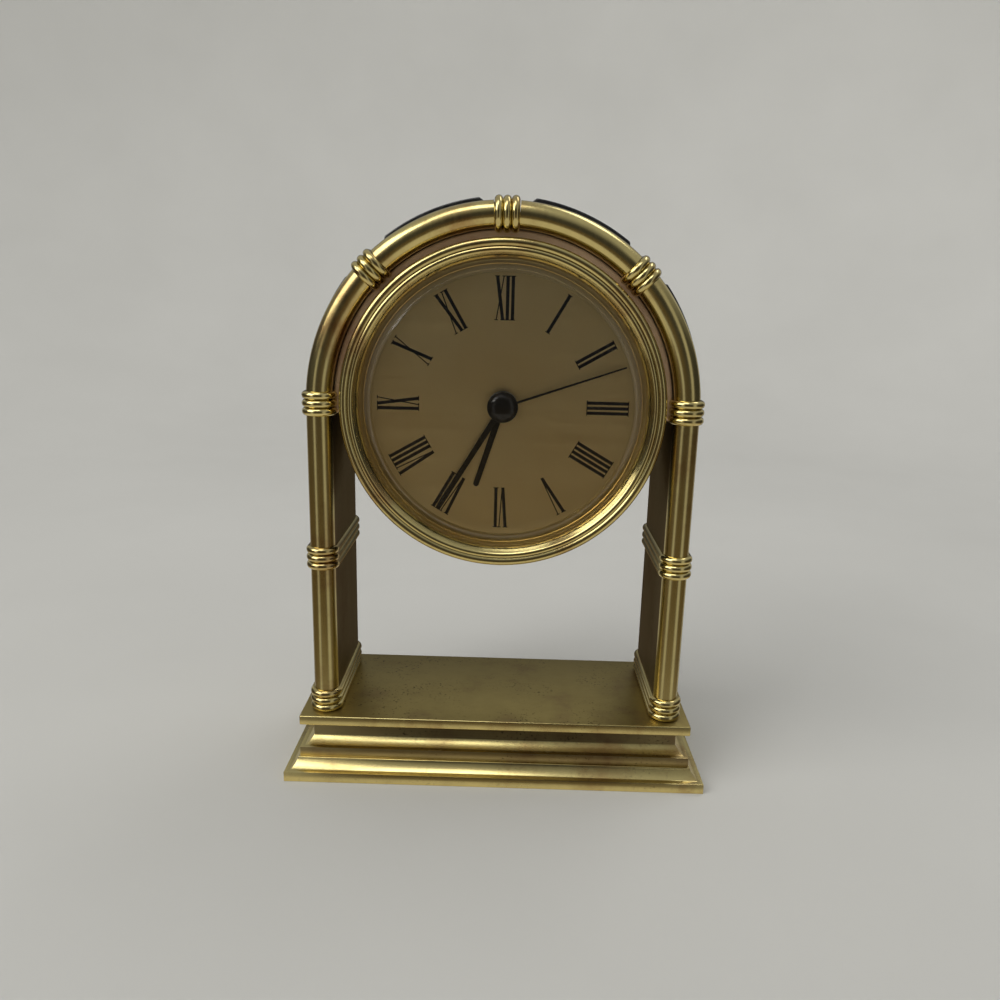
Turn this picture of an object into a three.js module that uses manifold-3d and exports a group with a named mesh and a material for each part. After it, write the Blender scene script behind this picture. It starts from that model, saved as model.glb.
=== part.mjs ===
// Arch desk clock: a stepped brass base, an arch built of bars and beaded collars,
// and a round quartz clock head. Millimetres, +Z up. X is the width, the dial faces -Y,
// and the origin is the middle of the base's underside.
import * as THREE from 'three';
import { mergeVertices } from 'three/addons/utils/BufferGeometryUtils.js';
import Module from 'manifold-3d';

const wasm = await Module();
wasm.setup();

// Fits between pieces
const CLEARANCE = 0.3;
const CLOSE_FIT = 0.15;

// Base
const BASE_SIDE_OVERHANG = 7.75;
const BASE_FRONT_OVERHANG = 7.65;
const BOTTOM_PLATE_THICK = 3.15;
const LOWER_COVE_FOOT = 1.5;
const LOWER_COVE_HEAD = 3.2;
const LOWER_COVE_RISE = 3.15;
const FILLET_INSET = 4.2;
const FILLET_RISE = 3.05;
const UPPER_COVE_FOOT = 5.6;
const NECK_INSET = 7.85;
const UPPER_COVE_RISE = 2.45;
const NECK_RISE = 4.9;
const TOP_PLATE_INSET = 4.26;
const TOP_PLATE_THICK = 2.95;
const EDGE_BREAK = 0.35;
const COVE_STEPS = 4;

// Arch bar: a flat bar with half-round front and rear edges
const BAR_THICK = 7.4;
const BAR_FLAT = 32;
const LEG_LENGTH = 94.3;
const EDGE_SEGMENTS = 8;
const BOW_STEPS = 10;

// Beaded collars
const BEADS = 3;
const BEAD_PITCH = 2.3;
const BEAD_PROUD = 1.15;
const BEAD_GROOVE = 0.2;

// Black panels on the outside of the arch
const PANEL_THICK = 2.4;
const PANEL_WIDTH = 7;
const PANEL_MARGIN = 1.5;
const PANEL_CHAMFER = 2.6;
const PANEL_SEAT = 0.05;
const PANEL_STEPS = 8;

// Leg screws
const SCREW_RADIUS = 2;
const SCREW_HEAD_RADIUS = 3.8;
const SCREW_HEAD_RISE = 2.2;
const SCREW_BITE = 12;

// Clock head
const ROUND_SEGMENTS = 56;
const DRUM_ROOM = 1.23;
const DRUM_WALL = 1.6;
const DRUM_FRONT = -15.4;
const DRUM_LIP = 4.2;
const DRUM_LIP_THICK = 1.8;
const BEZEL_OVERHANG = 1.45;
const BEZEL_WIDEST = -18.5;
const BEZEL_BEAD = 1.3;
const LENS_ROOM = 0.6;
const LENS_LAP = 1.5;
const LENS_RIM = 4.7;
const LENS_FLANGE_FRONT = -16.9;
const LENS_FLANGE_THICK = 1;
const LENS_RISE = 2.4;
const LENS_THICK = 1.2;
const DIAL_FRONT = -12.5;
const DIAL_THICK = 1;
const SPACER_WALL = 1.1;
const BRIDGE_FRONT = -14.6;
const BRIDGE_THICK = 6.6;
const BRIDGE_REACH = 3.15;

// Hands, with the time shown: clockwise degrees from twelve
const HOUR_ANGLE = 197.6;
const MINUTE_ANGLE = 211.2;
const SECOND_ANGLE = 70.8;
const HOUR_LENGTH = 24.7;
const MINUTE_LENGTH = 35.6;
const SECOND_LENGTH = 36.5;
const HOUR_WIDTH = 1.8;
const MINUTE_WIDTH = 1.7;
const SECOND_WIDTH = 0.7;
const HAND_THICK = 0.6;
const SECOND_THICK = 0.4;
const HAND_STEP = 0.6;
const CAP_RADIUS = 4.4;
const CAP_RISE = 1.7;

// Coaxial arbors at the dial centre
const SECOND_ARBOR = 0.5;
const PIPE_WALL = 0.6;
const BUSH_RADIUS = 4;

// Quartz movement
const CASE_TOP = 25;
const CASE_BOTTOM = -31;
const CASE_WALL = 1.2;
const FRONT_PLATE_THICK = 1.5;
const REAR_CASE_DEPTH = 16.2;
const BATTERY_RADIUS = 7;
const BATTERY_LENGTH = 49.2;
const BATTERY_NUB_RADIUS = 2.6;
const BATTERY_NUB_RISE = 1.2;
const PARTITION_THICK = 1;
const CONTACT_THICK = 0.8;
const CONTACT_ROOM = 0.5;
const DOOR_THICK = 1.2;
const DOOR_LAP = 1;
const KNOB_RADIUS = 6.5;
const KNOB_THICK = 2.5;
const KNOB_FLUTES = 18;
const MID_PLATE_THICK = 0.4;
const COIL_RADIUS = 2.4;
const COIL_LENGTH = 18;
const STATOR_THICK = 1.2;
const STATOR_WIDTH = 32;
const STATOR_SIDE = 5.5;
const STATOR_FOOT = 4;
const STATOR_LIMB = 3;
const CORE_WIDTH = 2;
const WINDOW_HEIGHT = 4;
const BOARD_WIDTH = 8.5;
const BOARD_THICK = 1;
const POST_RADIUS = 1.4;
const POST_LENGTH = 1.4;
const ROTOR_RADIUS = 2.5;
const ROTOR_LENGTH = 2.6;

// Wheel train: tooth numbers and modules
const MOTION_MODULE = 0.4;
const CANNON_TEETH = 10;
const MOTION_TEETH = 30;
const MOTION_PINION_TEETH = 8;
const HOUR_TEETH = 32;
const SETTING_TEETH = 10;
const THIRD_MODULE = 0.3;
const SECOND_PINION_TEETH = 8;
const THIRD_TEETH = 60;
const THIRD_PINION_TEETH = 8;
const CENTRE_TEETH = 64;
const SECOND_MODULE = 0.35;
const INTERMEDIATE_PINION_TEETH = 8;
const SECOND_TEETH = 40;
const ROTOR_MODULE = 0.3;
const ROTOR_PINION_TEETH = 8;
const INTERMEDIATE_TEETH = 48;
const MOTION_DIRECTION = 210;
const SETTING_DIRECTION = 180;
const THIRD_DIRECTION = 150;
const INTERMEDIATE_DIRECTION = 30;
const ROTOR_DIRECTION = 60;
const WHEEL_THICK = 0.9;
const LAYER_PITCH = 1.75;
const PINION_OVERRUN = 0.15;

// Places that follow from the sizes above: the cell sets the movement, the movement the drum,
// the drum the arch, and the arch the base
const caseWidth = BATTERY_LENGTH + BATTERY_NUB_RISE
  + 2 * (CLEARANCE + CONTACT_THICK + CONTACT_ROOM + CASE_WALL);
const drumBore = Math.hypot(caseWidth / 2, Math.max(CASE_TOP, -CASE_BOTTOM)) + DRUM_ROOM;
const drumRadius = drumBore + DRUM_WALL;
const bezelRadius = drumRadius + BEZEL_OVERHANG;
const lensRadius = drumBore - LENS_ROOM;
const bezelLipRadius = lensRadius - LENS_LAP;
const lensFaceRadius = lensRadius - LENS_RIM;
const archOuterRadius = drumRadius + 2 * CLEARANCE + BRIDGE_REACH + BAR_THICK;
const baseWidth = 2 * (archOuterRadius + BASE_SIDE_OVERHANG);
const baseDepth = BAR_FLAT + BAR_THICK + 2 * BASE_FRONT_OVERHANG;
const neckTopZ = BOTTOM_PLATE_THICK + LOWER_COVE_RISE + FILLET_RISE + UPPER_COVE_RISE + NECK_RISE;
const baseTopZ = neckTopZ + TOP_PLATE_THICK;
const archCentreZ = baseTopZ + LEG_LENGTH;
const archMidRadius = archOuterRadius - BAR_THICK / 2;
const archInnerRadius = archOuterRadius - BAR_THICK;
const collarLength = BEADS * BEAD_PITCH;
const crownPath = archMidRadius * Math.PI / 2;
const shoulderPath = crownPath / 2;
const footPath = collarLength / 2 - LEG_LENGTH;
const midPath = footPath / 2;

const dialRear = DIAL_FRONT + DIAL_THICK;
const plateRear = dialRear + FRONT_PLATE_THICK;
const caseRear = plateRear + REAR_CASE_DEPTH;
const caseFloor = caseRear - CASE_WALL;
const hourPipeBore = SECOND_ARBOR + 2 * CLEARANCE + PIPE_WALL;
const hourPipeRadius = hourPipeBore + PIPE_WALL;
const minutePipeBore = SECOND_ARBOR + CLEARANCE;
const minutePipeRadius = minutePipeBore + PIPE_WALL;
const bushBore = hourPipeRadius + CLEARANCE;
const hourHandRear = DIAL_FRONT - 0.5;
const hourHandFront = hourHandRear - HAND_THICK;
const minuteHandRear = hourHandFront - HAND_STEP;
const minuteHandFront = minuteHandRear - HAND_THICK;
const secondHandRear = minuteHandFront - HAND_STEP;
const secondHandFront = secondHandRear - SECOND_THICK;

const brass = new THREE.MeshStandardMaterial({ color: 0xb59a58, roughness: 0.18, metalness: 1 });
const satinBrass = new THREE.MeshStandardMaterial({ color: 0x9a8550, roughness: 0.4, metalness: 1 });
const copperBrass = new THREE.MeshStandardMaterial({ color: 0x8f7048, roughness: 0.25, metalness: 1 });
const dialGold = new THREE.MeshStandardMaterial({ color: 0xa58a55, roughness: 0.45, metalness: 0.9 });
const blackGloss = new THREE.MeshStandardMaterial({ color: 0x0b0a09, roughness: 0.15, metalness: 0 });
const blackMatt = new THREE.MeshStandardMaterial({ color: 0x1a1a1a, roughness: 0.6, metalness: 0 });
const clearLens = new THREE.MeshStandardMaterial({ color: 0xdfe4e2, roughness: 0.05, metalness: 0 });
const whitePlastic = new THREE.MeshStandardMaterial({ color: 0xd8d6cf, roughness: 0.5, metalness: 0 });
const steel = new THREE.MeshStandardMaterial({ color: 0x9a9da0, roughness: 0.3, metalness: 1 });
const copper = new THREE.MeshStandardMaterial({ color: 0x9c5a2e, roughness: 0.4, metalness: 0.8 });
const boardGreen = new THREE.MeshStandardMaterial({ color: 0x2d5a3a, roughness: 0.6, metalness: 0 });

const radians = (degrees) => degrees * Math.PI / 180;

// Solids: a mesh as a body that can be joined and cut, and back again
function toSolid(geometry) {
  const plain = new THREE.BufferGeometry();
  plain.setAttribute('position', geometry.getAttribute('position').clone());
  if (geometry.index) plain.setIndex(geometry.index.clone());
  const merged = mergeVertices(plain, 1e-4);
  return new wasm.Manifold(new wasm.Mesh({
    numProp: 3,
    vertProperties: new Float32Array(merged.getAttribute('position').array),
    triVerts: new Uint32Array(merged.index.array),
  }));
}

function toGeometry(solid) {
  const mesh = solid.getMesh();
  const geometry = new THREE.BufferGeometry();
  geometry.setAttribute('position', new THREE.BufferAttribute(new Float32Array(mesh.vertProperties), 3));
  geometry.setIndex(new THREE.BufferAttribute(new Uint32Array(mesh.triVerts), 1));
  geometry.computeVertexNormals();
  return geometry;
}

function join(...geometries) {
  return toGeometry(geometries.map(toSolid).reduce((whole, next) => whole.add(next)));
}

function cut(geometry, ...tools) {
  return toGeometry(tools.map(toSolid).reduce((rest, tool) => rest.subtract(tool), toSolid(geometry)));
}

// A skin over a row of loops with the same number of points, closed at both ends
function loft(loops) {
  const points = loops[0].length;
  const positions = loops.flat().flatMap((point) => [point.x, point.y, point.z]);
  const index = [];
  for (let row = 0; row < loops.length - 1; row += 1) {
    for (let i = 0; i < points; i += 1) {
      const a = row * points + i;
      const b = row * points + (i + 1) % points;
      index.push(a, b, b + points, a, b + points, a + points);
    }
  }
  const last = (loops.length - 1) * points;
  for (let i = 1; i < points - 1; i += 1) {
    index.push(0, i + 1, i);
    index.push(last, last + i, last + i + 1);
  }
  let volume = 0;
  const at = (n) => new THREE.Vector3(...positions.slice(3 * n, 3 * n + 3));
  for (let t = 0; t < index.length; t += 3) {
    volume += at(index[t]).dot(at(index[t + 1]).cross(at(index[t + 2])));
  }
  if (volume < 0) index.reverse();
  const geometry = new THREE.BufferGeometry();
  geometry.setAttribute('position', new THREE.Float32BufferAttribute(positions, 3));
  geometry.setIndex(index);
  geometry.computeVertexNormals();
  return geometry;
}

// A block with mitred mouldings: each level is an inset from the base's outline and a height
function mouldedBlock(levels) {
  return loft(levels.map(([inset, z]) => {
    const x = baseWidth / 2 - inset;
    const y = baseDepth / 2 - inset;
    return [[-x, -y], [x, -y], [x, y], [-x, y]].map(([px, py]) => new THREE.Vector3(px, py, z));
  }));
}

// A hollow quarter curve from the foot of a cove to its head
function cove(footInset, footZ, headInset, headZ) {
  const levels = [];
  for (let i = 0; i <= COVE_STEPS; i += 1) {
    const turn = i / COVE_STEPS * Math.PI / 2;
    levels.push([headInset - (headInset - footInset) * (1 - Math.sin(turn)),
      headZ - (headZ - footZ) * Math.cos(turn)]);
  }
  return levels;
}

// A plate cut from an outline in the XZ plane, from its front to its rear
function plate(shape, front, rear) {
  const geometry = new THREE.ExtrudeGeometry(shape,
    { depth: rear - front, bevelEnabled: false, curveSegments: 24 });
  geometry.rotateX(Math.PI / 2);
  geometry.translate(0, rear, 0);
  return geometry;
}

function outline(points) {
  return new THREE.Shape(points.map(([x, z]) => new THREE.Vector2(x, z)));
}

function circlePoints(radius, segments, x = 0, z = 0) {
  return Array.from({ length: segments }, (_, i) => {
    const turn = 2 * Math.PI * i / segments;
    return [x + radius * Math.cos(turn), z + radius * Math.sin(turn)];
  });
}

function disc(radius, front, rear, segments = 24, x = 0, z = 0) {
  return plate(outline(circlePoints(radius, segments, x, z)), front, rear);
}

function tube(radius, bore, front, rear, segments = 24) {
  const shape = outline(circlePoints(radius, segments));
  shape.holes.push(outline(circlePoints(bore, segments)));
  return plate(shape, front, rear);
}

function box(x0, x1, front, rear, z0, z1) {
  return plate(outline([[x0, z0], [x1, z0], [x1, z1], [x0, z1]]), front, rear);
}

// A turned piece about the Y axis: radius and depth pairs
function turned(profile, segments = ROUND_SEGMENTS) {
  const geometry = new THREE.LatheGeometry(profile.map(([r, y]) => new THREE.Vector2(r, y)), segments);
  return toGeometry(outward(toSolid(geometry), geometry));
}

function outward(solid, geometry) {
  if (solid.volume() > 0) return solid;
  geometry.index.array.reverse();
  return toSolid(geometry);
}

// Arch bar and collars: sections stand square to the path up a leg and over the bow
function sectionAt(path, side, grow) {
  const turn = Math.max(0, path) / archMidRadius;
  const rise = Math.min(0, path);
  const reach = BAR_THICK / 2 + grow;
  const points = [];
  for (const end of [-1, 1]) {
    for (let i = 0; i <= EDGE_SEGMENTS; i += 1) {
      const around = Math.PI * i / EDGE_SEGMENTS + (end < 0 ? Math.PI : 0);
      points.push([reach * Math.cos(around), end * BAR_FLAT / 2 + reach * Math.sin(around)]);
    }
  }
  return points.map(([u, y]) => {
    const radius = archMidRadius + u;
    return new THREE.Vector3(side * radius * Math.cos(turn), y, archCentreZ + radius * Math.sin(turn) + rise);
  });
}

function bar(from, to, side, steps) {
  const loops = [];
  for (let i = 0; i <= steps; i += 1) loops.push(sectionAt(from + (to - from) * i / steps, side, 0));
  return loft(loops);
}

function collar(centre, side) {
  const start = centre - collarLength / 2;
  const bead = [[0, BEAD_GROOVE], [0.2, 0.8 * BEAD_PROUD], [0.5, BEAD_PROUD], [0.8, 0.8 * BEAD_PROUD]];
  const loops = [];
  for (let n = 0; n < BEADS; n += 1) {
    for (const [share, grow] of bead) loops.push(sectionAt(start + (n + share) * BEAD_PITCH, side, grow));
  }
  loops.push(sectionAt(start + collarLength, side, BEAD_GROOVE));
  return loft(loops);
}

// A black panel between two collars, on the outside of a leg or of the bow
function panel(from, to, side) {
  const inner = archOuterRadius + PANEL_SEAT;
  const outer = archOuterRadius + PANEL_THICK;
  const place = (path, radius) => {
    const turn = Math.max(0, path) / archMidRadius;
    return [side * radius * Math.cos(turn), archCentreZ + radius * Math.sin(turn) + Math.min(0, path)];
  };
  const steps = from < 0 ? 1 : PANEL_STEPS;
  const points = [];
  for (let i = 0; i <= steps; i += 1) points.push(place(from + (to - from) * i / steps, inner));
  for (let i = steps; i >= 0; i -= 1) {
    const share = i / steps;
    points.push(place(from + PANEL_CHAMFER + (to - from - 2 * PANEL_CHAMFER) * share, outer));
  }
  const geometry = plate(outline(points), -PANEL_WIDTH / 2, PANEL_WIDTH / 2);
  return geometry;
}

// A toothed outline with straight-sided teeth and room for free running; phase is where one tooth points
function gearOutline(teeth, module, phase) {
  const tip = teeth * module / 2 + 0.75 * module;
  const root = teeth * module / 2 - module;
  const step = 2 * Math.PI / teeth;
  const points = [];
  for (let i = 0; i < teeth; i += 1) {
    const middle = phase + i * step;
    for (const [radius, share] of [[root, -0.26], [tip, -0.1], [tip, 0.1], [root, 0.26]]) {
      points.push([radius * Math.cos(middle + share * step), radius * Math.sin(middle + share * step)]);
    }
  }
  return outline(points);
}

function gear(teeth, module, phase, bore, front, rear) {
  const shape = gearOutline(teeth, module, phase);
  if (bore > 0) shape.holes.push(outline(circlePoints(bore, 16)));
  return plate(shape, front, rear);
}

// The phase that sets a gap of the driven wheel over the driver's nearest tooth
function meshPhase(driverPhase, driverTeeth, drivenTeeth, direction) {
  const step = 2 * Math.PI / driverTeeth;
  let offset = (driverPhase - direction) % step;
  if (offset > step / 2) offset -= step;
  if (offset < -step / 2) offset += step;
  return direction + Math.PI - offset * driverTeeth / drivenTeeth + Math.PI / drivenTeeth;
}

const clock = new THREE.Group();
clock.name = 'arch_desk_clock';
const head = new THREE.Group();
head.name = 'clock_head';
head.position.set(0, 0, archCentreZ);
clock.add(head);

function add(parent, name, geometry, material) {
  const mesh = new THREE.Mesh(geometry, material);
  mesh.name = name;
  parent.add(mesh);
  return mesh;
}

// Base tiers, with a screw hole under each leg
const lowerCoveZ = BOTTOM_PLATE_THICK + LOWER_COVE_RISE;
const filletTopZ = lowerCoveZ + FILLET_RISE;
const upperCoveZ = filletTopZ + UPPER_COVE_RISE;
const screwHole = (x, radius, z0, z1) => {
  const hole = new THREE.CylinderGeometry(radius, radius, z1 - z0, 20);
  hole.rotateX(Math.PI / 2);
  hole.translate(x, 0, (z0 + z1) / 2);
  return hole;
};
const bothHoles = (radius, z0, z1) => [-1, 1].map((side) => screwHole(side * archMidRadius, radius, z0, z1));
const shankHole = SCREW_RADIUS + CLEARANCE;
const headHole = SCREW_HEAD_RADIUS + CLEARANCE;
const headSeatZ = BOTTOM_PLATE_THICK;

add(clock, 'base_bottom_plate', cut(mouldedBlock([
  [EDGE_BREAK, 0], [0, EDGE_BREAK], [0, BOTTOM_PLATE_THICK - EDGE_BREAK], [EDGE_BREAK, BOTTOM_PLATE_THICK],
  ...cove(LOWER_COVE_FOOT, BOTTOM_PLATE_THICK, LOWER_COVE_HEAD, lowerCoveZ),
]), ...bothHoles(shankHole, headSeatZ, lowerCoveZ + 1), ...bothHoles(headHole, -1, headSeatZ)), brass);
add(clock, 'base_mid_tier', cut(mouldedBlock([
  [FILLET_INSET, lowerCoveZ], [FILLET_INSET, filletTopZ],
  ...cove(UPPER_COVE_FOOT, filletTopZ, NECK_INSET, upperCoveZ),
  [NECK_INSET, neckTopZ],
]), ...bothHoles(shankHole, lowerCoveZ - 1, neckTopZ + 1)), brass);
add(clock, 'base_top_plate', cut(mouldedBlock([
  [TOP_PLATE_INSET + EDGE_BREAK, neckTopZ], [TOP_PLATE_INSET, neckTopZ + EDGE_BREAK],
  [TOP_PLATE_INSET, baseTopZ - EDGE_BREAK], [TOP_PLATE_INSET + EDGE_BREAK, baseTopZ],
]), ...bothHoles(shankHole, neckTopZ - 1, baseTopZ + 1)), satinBrass);

// Arch: leg bars, bow bars, collars and panels
const collarPaths = { foot: footPath, mid: midPath, spring: 0, shoulder: shoulderPath };
const footTopZ = baseTopZ + collarLength;
for (const [word, side] of [['left', -1], ['right', 1]]) {
  const half = collarLength / 2;
  const screwTop = footTopZ + SCREW_BITE;
  add(clock, `${word}_leg_lower_bar`, cut(bar(footPath + half, midPath - half, side, 1),
    screwHole(side * archMidRadius, shankHole, footTopZ - 1, screwTop + CLEARANCE)), brass);
  add(clock, `${word}_leg_upper_bar`, bar(midPath + half, -half, side, 1), brass);
  add(clock, `${word}_bow_lower_bar`, bar(half, shoulderPath - half, side, BOW_STEPS), brass);
  add(clock, `${word}_bow_upper_bar`, bar(shoulderPath + half, crownPath - half, side, BOW_STEPS), brass);
  for (const [place, centre] of Object.entries(collarPaths)) {
    let geometry = collar(centre, side);
    if (place === 'foot') {
      geometry = cut(geometry, screwHole(side * archMidRadius, shankHole, baseTopZ - 1, footTopZ + 1));
    }
    add(clock, `${word}_${place}_collar`, geometry, brass);
  }
  const ends = [footPath, midPath, 0, shoulderPath, crownPath];
  const names = ['leg_lower', 'leg_upper', 'bow_lower', 'bow_upper'];
  names.forEach((place, i) => {
    const from = ends[i] + half + PANEL_MARGIN;
    const to = ends[i + 1] - half - PANEL_MARGIN;
    add(clock, `${word}_${place}_panel`, panel(from, to, side), blackGloss);
  });
  const screw = new THREE.LatheGeometry([
    [0, 0], [SCREW_HEAD_RADIUS, 0], [SCREW_HEAD_RADIUS, SCREW_HEAD_RISE], [SCREW_RADIUS, SCREW_HEAD_RISE],
    [SCREW_RADIUS, screwTop - headSeatZ + SCREW_HEAD_RISE], [0, screwTop - headSeatZ + SCREW_HEAD_RISE],
  ].map(([r, y]) => new THREE.Vector2(r, y)), 20);
  screw.rotateX(Math.PI / 2);
  screw.translate(0, 0, headSeatZ - SCREW_HEAD_RISE);
  const screwMesh = add(clock, `${word}_leg_screw`, toGeometry(outward(toSolid(screw), screw)), steel);
  screwMesh.position.x = side * archMidRadius;
}
add(clock, 'crown_collar', collar(crownPath, 1), brass);

// Half-round bridge plate that carries the head in the bow, notched round the collars
const bridgeOuter = archInnerRadius - CLEARANCE;
const bridgeNotch = archInnerRadius - BEAD_PROUD - CLEARANCE;
const bridgeInner = drumRadius + CLEARANCE;
const notchHalf = collarLength / 2 / archMidRadius + 0.5 / archMidRadius;
const bridgeFoot = -collarLength / 2;
const bridgePoints = [[bridgeNotch, bridgeFoot]];
const bridgeAt = (radius, turn) => bridgePoints.push([radius * Math.cos(turn), radius * Math.sin(turn)]);
for (let n = 0; n <= 4; n += 1) {
  const middle = n * Math.PI / 4;
  if (n > 0) {
    bridgeAt(bridgeOuter, middle - notchHalf);
    bridgeAt(bridgeNotch, middle - notchHalf);
  }
  bridgeAt(bridgeNotch, middle);
  if (n < 4) {
    bridgeAt(bridgeNotch, middle + notchHalf);
    for (let i = 0; i < BOW_STEPS; i += 1) {
      bridgeAt(bridgeOuter, middle + notchHalf + (Math.PI / 4 - 2 * notchHalf) * i / BOW_STEPS);
    }
  }
}
bridgePoints.push([-bridgeNotch, bridgeFoot], [-bridgeInner, bridgeFoot]);
for (let i = 48; i >= 0; i -= 1) bridgeAt(bridgeInner, Math.PI * i / 48);
bridgePoints.push([bridgeInner, bridgeFoot]);
add(head, 'head_bridge',
  plate(outline(bridgePoints), BRIDGE_FRONT, BRIDGE_FRONT + BRIDGE_THICK), copperBrass);

// Bezel, lens, spacer ring, dial and drum
const lensSeatRadius = lensRadius + CLEARANCE;
const outerBeadMid = bezelRadius - BEZEL_BEAD;
const innerBeadMid = outerBeadMid - 1.9;
const bezelProfile = [
  [bezelLipRadius, LENS_FLANGE_FRONT], [lensSeatRadius, LENS_FLANGE_FRONT], [lensSeatRadius, DRUM_FRONT],
  [bezelRadius - 0.7, DRUM_FRONT], [bezelRadius - 0.15, BEZEL_WIDEST + 1.6], [bezelRadius, BEZEL_WIDEST],
];
for (const turn of [30, 60, 90, 125]) {
  bezelProfile.push([outerBeadMid + BEZEL_BEAD * Math.cos(radians(turn)),
    BEZEL_WIDEST - BEZEL_BEAD * Math.sin(radians(turn))]);
}
bezelProfile.push([innerBeadMid + 0.75, BEZEL_WIDEST - 0.75], [innerBeadMid + 0.3, BEZEL_WIDEST - 1.3]);
bezelProfile.push([innerBeadMid - 0.2, BEZEL_WIDEST - 1.4], [innerBeadMid - 0.7, BEZEL_WIDEST - 1]);
bezelProfile.push([bezelLipRadius, LENS_FLANGE_FRONT - 0.6], [bezelLipRadius, LENS_FLANGE_FRONT]);
add(head, 'bezel', turned(bezelProfile), brass);

const lensFaceFront = LENS_FLANGE_FRONT - 0.7;
const lensRear = LENS_FLANGE_FRONT + LENS_FLANGE_THICK;
const lensCrown = LENS_FLANGE_FRONT - LENS_RISE;
const lensProfile = [[0, lensCrown + LENS_THICK]];
const domeAt = (share, front, rise) => front - rise * (1 - share * share);
for (const share of [0.4, 0.7, 1]) {
  lensProfile.push([share * (lensFaceRadius - 0.7),
    domeAt(share, lensFaceFront + LENS_THICK, lensFaceFront - lensCrown)]);
}
lensProfile.push([lensFaceRadius + 0.6, lensRear], [lensRadius, lensRear], [lensRadius, LENS_FLANGE_FRONT]);
lensProfile.push([lensFaceRadius + 1.2, LENS_FLANGE_FRONT]);
for (const share of [1, 0.7, 0.4]) {
  lensProfile.push([share * lensFaceRadius, domeAt(share, lensFaceFront, lensFaceFront - lensCrown)]);
}
lensProfile.push([0, lensCrown]);
add(head, 'lens', turned(lensProfile), clearLens);

const dialRadius = drumBore - CLEARANCE;
add(head, 'dial_spacer_ring',
  tube(dialRadius, dialRadius - SPACER_WALL, lensRear, DIAL_FRONT, ROUND_SEGMENTS), dialGold);
add(head, 'dial', tube(dialRadius, BUSH_RADIUS + CLEARANCE, DIAL_FRONT, dialRear, ROUND_SEGMENTS), dialGold);
add(head, 'drum_case', turned([
  [drumRadius, DRUM_FRONT], [drumBore, DRUM_FRONT], [drumBore, caseRear], [drumRadius - DRUM_LIP, caseRear],
  [drumRadius - DRUM_LIP, caseRear + DRUM_LIP_THICK], [drumRadius, caseRear + DRUM_LIP_THICK],
  [drumRadius, DRUM_FRONT],
]), blackMatt);

// Arbor places, from the tooth numbers
const polar = (distance, degrees, from = [0, 0]) => [
  from[0] + distance * Math.cos(radians(degrees)), from[1] + distance * Math.sin(radians(degrees))];
const motionReach = MOTION_MODULE * (CANNON_TEETH + MOTION_TEETH) / 2;
const motionAt = polar(motionReach, MOTION_DIRECTION);
const settingAt = polar(MOTION_MODULE * (MOTION_TEETH + SETTING_TEETH) / 2, SETTING_DIRECTION, motionAt);
const thirdReach = THIRD_MODULE * (SECOND_PINION_TEETH + THIRD_TEETH) / 2;
const centreModule = 2 * thirdReach / (THIRD_PINION_TEETH + CENTRE_TEETH);
const hourModule = 2 * motionReach / (MOTION_PINION_TEETH + HOUR_TEETH);
const thirdAt = polar(thirdReach, THIRD_DIRECTION);
const intermediateReach = SECOND_MODULE * (SECOND_TEETH + INTERMEDIATE_PINION_TEETH) / 2;
const intermediateAt = polar(intermediateReach, INTERMEDIATE_DIRECTION);
const rotorReach = ROTOR_MODULE * (INTERMEDIATE_TEETH + ROTOR_PINION_TEETH) / 2;
const rotorAt = polar(rotorReach, ROTOR_DIRECTION, intermediateAt);

// Wheel layers, counted back from the front plate
const layer = (n) => plateRear + 0.4 + n * LAYER_PITCH;
const layerEnd = (n) => layer(n) + WHEEL_THICK;
const midPlateFront = layerEnd(3) + 2 * CLOSE_FIT;
const midPlateRear = midPlateFront + MID_PLATE_THICK;
const arborFront = plateRear + CLEARANCE;
const arborRear = caseFloor - CLEARANCE;
const arbor = (radius, front, rear) => disc(radius, front, rear, 16);
const pinion = (teeth, module, phase, bore, n) => gear(teeth, module, phase, bore,
  layer(n) - PINION_OVERRUN, layerEnd(n) + PINION_OVERRUN);

// Movement front plate with the bush through the dial and the post of the motion wheel
const motionBore = 0.7;
const frontPlateShape = outline([[-caseWidth / 2, CASE_BOTTOM], [caseWidth / 2, CASE_BOTTOM],
  [caseWidth / 2, CASE_TOP], [-caseWidth / 2, CASE_TOP]]);
const motionPost = disc(motionBore - CLEARANCE, plateRear - 0.5, layerEnd(1) + CLOSE_FIT, 16, ...motionAt);
add(head, 'movement_front_plate', cut(
  join(plate(frontPlateShape, dialRear, plateRear),
    disc(BUSH_RADIUS, DIAL_FRONT + 0.1, dialRear + 0.5), motionPost),
  disc(bushBore, DIAL_FRONT - 1, plateRear + 1)), whitePlastic);

// Movement rear case: the wheel room, the battery room and its opening
const roomHalf = caseWidth / 2 - CASE_WALL;
const batteryRoomBottom = CASE_BOTTOM + CASE_WALL;
const batteryRoomTop = batteryRoomBottom + 2 * (BATTERY_RADIUS + CLEARANCE);
const wheelRoomBottom = batteryRoomTop + PARTITION_THICK;
const wheelRoomTop = CASE_TOP - CASE_WALL;
const openingHalf = roomHalf - 1.8;
const openingBottom = batteryRoomBottom + 0.8;
const openingTop = batteryRoomTop - 0.8;
const stator = { right: rotorAt[0] + STATOR_SIDE, left: rotorAt[0] + STATOR_SIDE - STATOR_WIDTH,
  bottom: rotorAt[1] - STATOR_FOOT, top: wheelRoomTop - COIL_RADIUS + CORE_WIDTH / 2 - CLEARANCE };
const rotorMid = layerEnd(5) + 0.6 + ROTOR_LENGTH / 2;
const statorFront = rotorMid - STATOR_THICK / 2;
const statorRear = rotorMid + STATOR_THICK / 2;
const boardRear = caseFloor - POST_LENGTH;
const boardFront = boardRear - BOARD_THICK;
const boardLeft = -roomHalf + CLEARANCE;
const boardRight = boardLeft + BOARD_WIDTH;
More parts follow.
